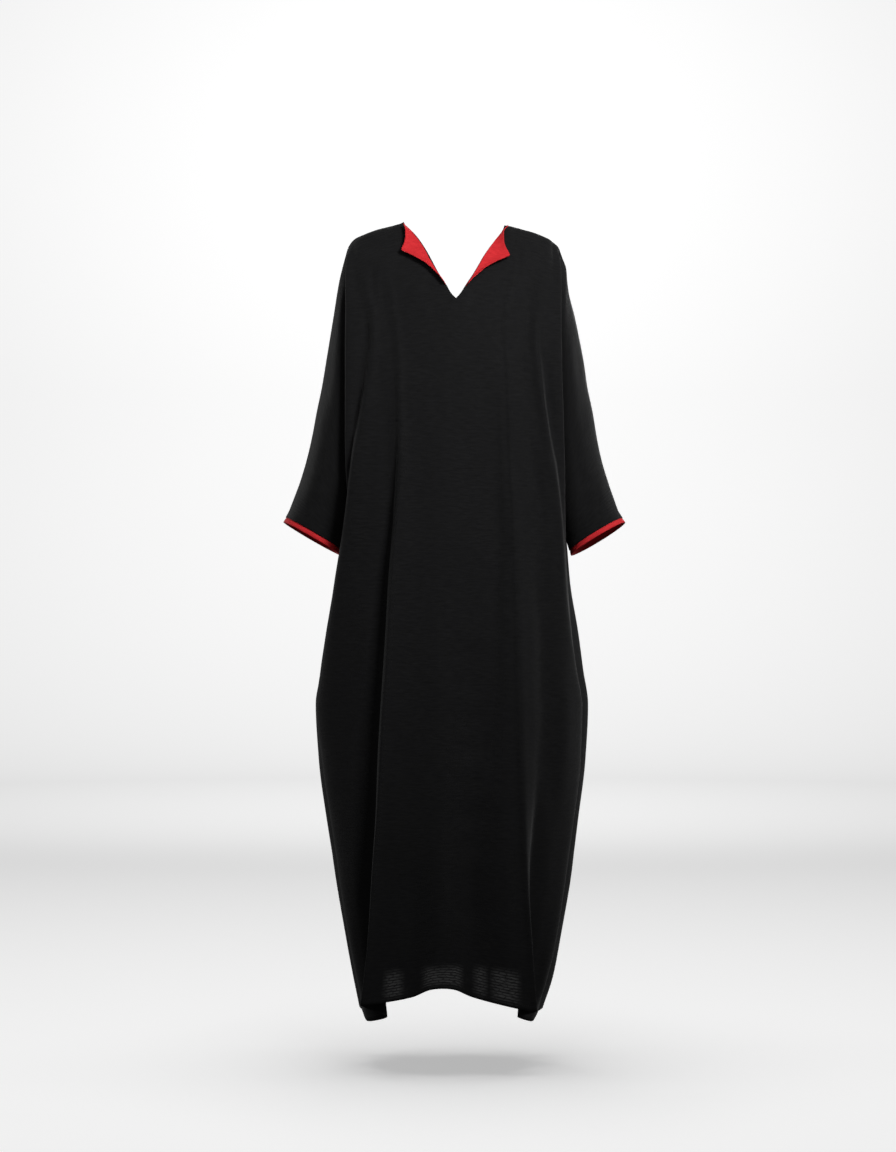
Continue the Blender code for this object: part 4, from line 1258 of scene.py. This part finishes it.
@dataclass
class Studio:
    """A pale round floor that curves up into a pale wall, soft light and the camera."""

    floor_level: float = -1.505
    floor_radius: float = 6.0
    cove: float = 1.8      # radius of the curve between the floor and the wall
    wall_height: float = 5.5
    air: float = 0.075     # brightness of the light from all round
    distance: float = 4.2
    eye: tuple[float, float] = (-0.00985, -0.630)
    frame_height: float = 2.06208   # height that the camera sees at the middle of the dress

    def backdrop(self) -> bpy.types.Object:
        """Builds the floor and the wall as one round sheet, open at its top.

        Returns:
            The backdrop.
        """
        shape = bmesh.new()
        corners = [math.pi / 2 * k / 16 for k in range(17)]
        profile = [(0.0, 0.0), (2.0, 0.0), (4.0, 0.0)]
        profile += [(self.floor_radius + self.cove * math.sin(turn), self.cove * (1 - math.cos(turn)))
                    for turn in corners]
        profile.append((self.floor_radius + self.cove, self.wall_height))
        line = [shape.verts.new((0.0, r, self.floor_level + z)) for r, z in profile]
        edges = [shape.edges.new(pair) for pair in zip(line, line[1:])]
        bmesh.ops.spin(shape, geom=line + edges, cent=(0, 0, 0), axis=(0, 0, 1), angle=2 * math.pi,
                       steps=96, use_merge=True)
        bmesh.ops.remove_doubles(shape, verts=shape.verts, dist=0.0001)
        paper = SmoothPaper("studio_paper", "#f7f7f7", 0.42).make()
        backdrop = new_piece("studio_backdrop", shape, paper)
        return backdrop

    def lamp(self, name: str, place: tuple[float, float, float], size: float, power: float,
             aim: tuple[float, float, float], lit: list[bpy.types.Object],
             shaded_by: list[bpy.types.Object] | None = None, spread: float = 180.0) -> None:
        """Adds a soft square lamp for some of the things in the studio.

        Args:
            name: Its name.
            place: Where it stands, in metres.
            size: Its side, in metres.
            power: Its power, in watts.
            aim: The point that it faces.
            lit: What it lights.
            shaded_by: What casts shadows in its light, or none where everything does.
            spread: Angle that its light fans out to, in degrees.
        """
        light = bpy.data.lights.new(name, "AREA")
        light.size = size
        light.energy = power
        light.spread = math.radians(spread)
        lamp = bpy.data.objects.new(name, light)
        lamp.location = place
        lamp.visible_camera = False
        lamp.rotation_euler = (Vector(aim) - Vector(place)).to_track_quat("-Z", "Y").to_euler()
        bpy.context.scene.collection.objects.link(lamp)
        lamp.light_linking.receiver_collection = bpy.data.collections.new(name + "_lit")
        for thing in lit:
            lamp.light_linking.receiver_collection.objects.link(thing)
        if shaded_by is not None:
            lamp.light_linking.blocker_collection = bpy.data.collections.new(name + "_shade")
            for thing in shaded_by:
                lamp.light_linking.blocker_collection.objects.link(thing)

    def make(self, pieces: list[bpy.types.Object]) -> None:
        """Builds the studio round the dress.

        Args:
            pieces: The pieces of the dress.
        """
        paper = self.backdrop()
        paper.visible_diffuse = False
        paper.visible_glossy = False
        world = bpy.data.worlds.new("studio_air")
        world.use_nodes = True
        world.node_tree.nodes["Background"].inputs["Color"].default_value = linear("#ffffff")
        world.node_tree.nodes["Background"].inputs["Strength"].default_value = self.air
        bpy.context.scene.world = world
        wall = self.floor_radius + self.cove
        for name, (x, y) in (("far", (0, 1)), ("near", (0, -1)), ("left", (-1, 0)), ("right", (1, 0))):
            self.lamp("wall_soft_" + name, (2 * x, 2 * y, 2.4), 1.5, 92.0, (wall * x, wall * y, 1.1),
                      [paper], [paper], 125.0)
        self.lamp("overhead_soft", (-0.06, -0.05, 3.2), 2.4, 105.0, (-0.02, 0.0, -1.5), [paper])
        self.lamp("key_soft", (1.15, -2.15, 0.95), 0.8, 11.3, (0.05, 0.0, -0.15), pieces, spread=70.0)
        self.lamp("fill_soft", (-1.0, -2.4, 0.9), 1.2, 2.6, (-0.05, 0.0, -0.25), pieces, spread=80.0)
        self.lamp("side_right_soft", (2.3, 1.0, 0.2), 1.0, 13.0, (0.1, 0.0, -0.4), pieces)
        self.lamp("side_left_soft", (-2.2, 1.2, 0.0), 1.2, 26.0, (-0.1, 0.0, -0.7), pieces)
        self.lamp("back_soft", (0.6, 2.6, 0.8), 1.2, 18.0, (0.0, 0.0, -0.5), pieces, spread=90.0)
        camera = bpy.data.objects.new("camera", bpy.data.cameras.new("camera"))
        camera.data.sensor_width = 36.0
        camera.data.lens = 36.0 * self.distance / self.frame_height
        camera.location = (self.eye[0], -self.distance, self.eye[1])
        camera.rotation_euler = (math.pi / 2, 0, 0)
        camera.data.clip_end = 60.0
        bpy.context.scene.collection.objects.link(camera)
        bpy.context.scene.camera = camera
        bpy.context.scene.view_settings.view_transform = "Standard"


def main() -> None:
    """Builds the dress and its studio."""
    logging.basicConfig(level=logging.INFO, format="%(name)s: %(message)s")
    for thing in list(bpy.data.objects):
        bpy.data.objects.remove(thing)
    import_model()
    # The second and third colours of each crepe are the painted highlight and painted shade of its crinkles
    black = CrinkledCrepe("black_crinkled_crepe", "#0d0d0e", "#19191a", "#070708", 0.8, 0.12, 0.08).make()
    red = CrinkledCrepe("red_crepe_facing", "#cb252b", "#d83237", "#b41b22", 0.75, 0.2, 0.0).make()
    thread = TwistedThread("black_polyester_thread", "#17171a", "#0b0b0c").make()
    pieces = Panel("front", FRONT_CREASES, FRONT_STEPS, (0.66, 1.43), 0.79).make(black, thread)
    front = pieces[0]
    pieces += Panel("back", BACK_CREASES, BACK_STEPS, (0.65, 1.41), 0.77).make(black, thread)
    for side, rows in SLEEVE_LINES.items():
        pieces += Arm(side, rows["outer"], rows["inner"], CUFF_TILT[side]).make(black, red, thread)
    for side, rows in FACING_ROWS.items():
        pieces.append(NeckFacing(side, rows).make(front, red))
    Studio().make(pieces)


if __name__ == "__main__":
    main()
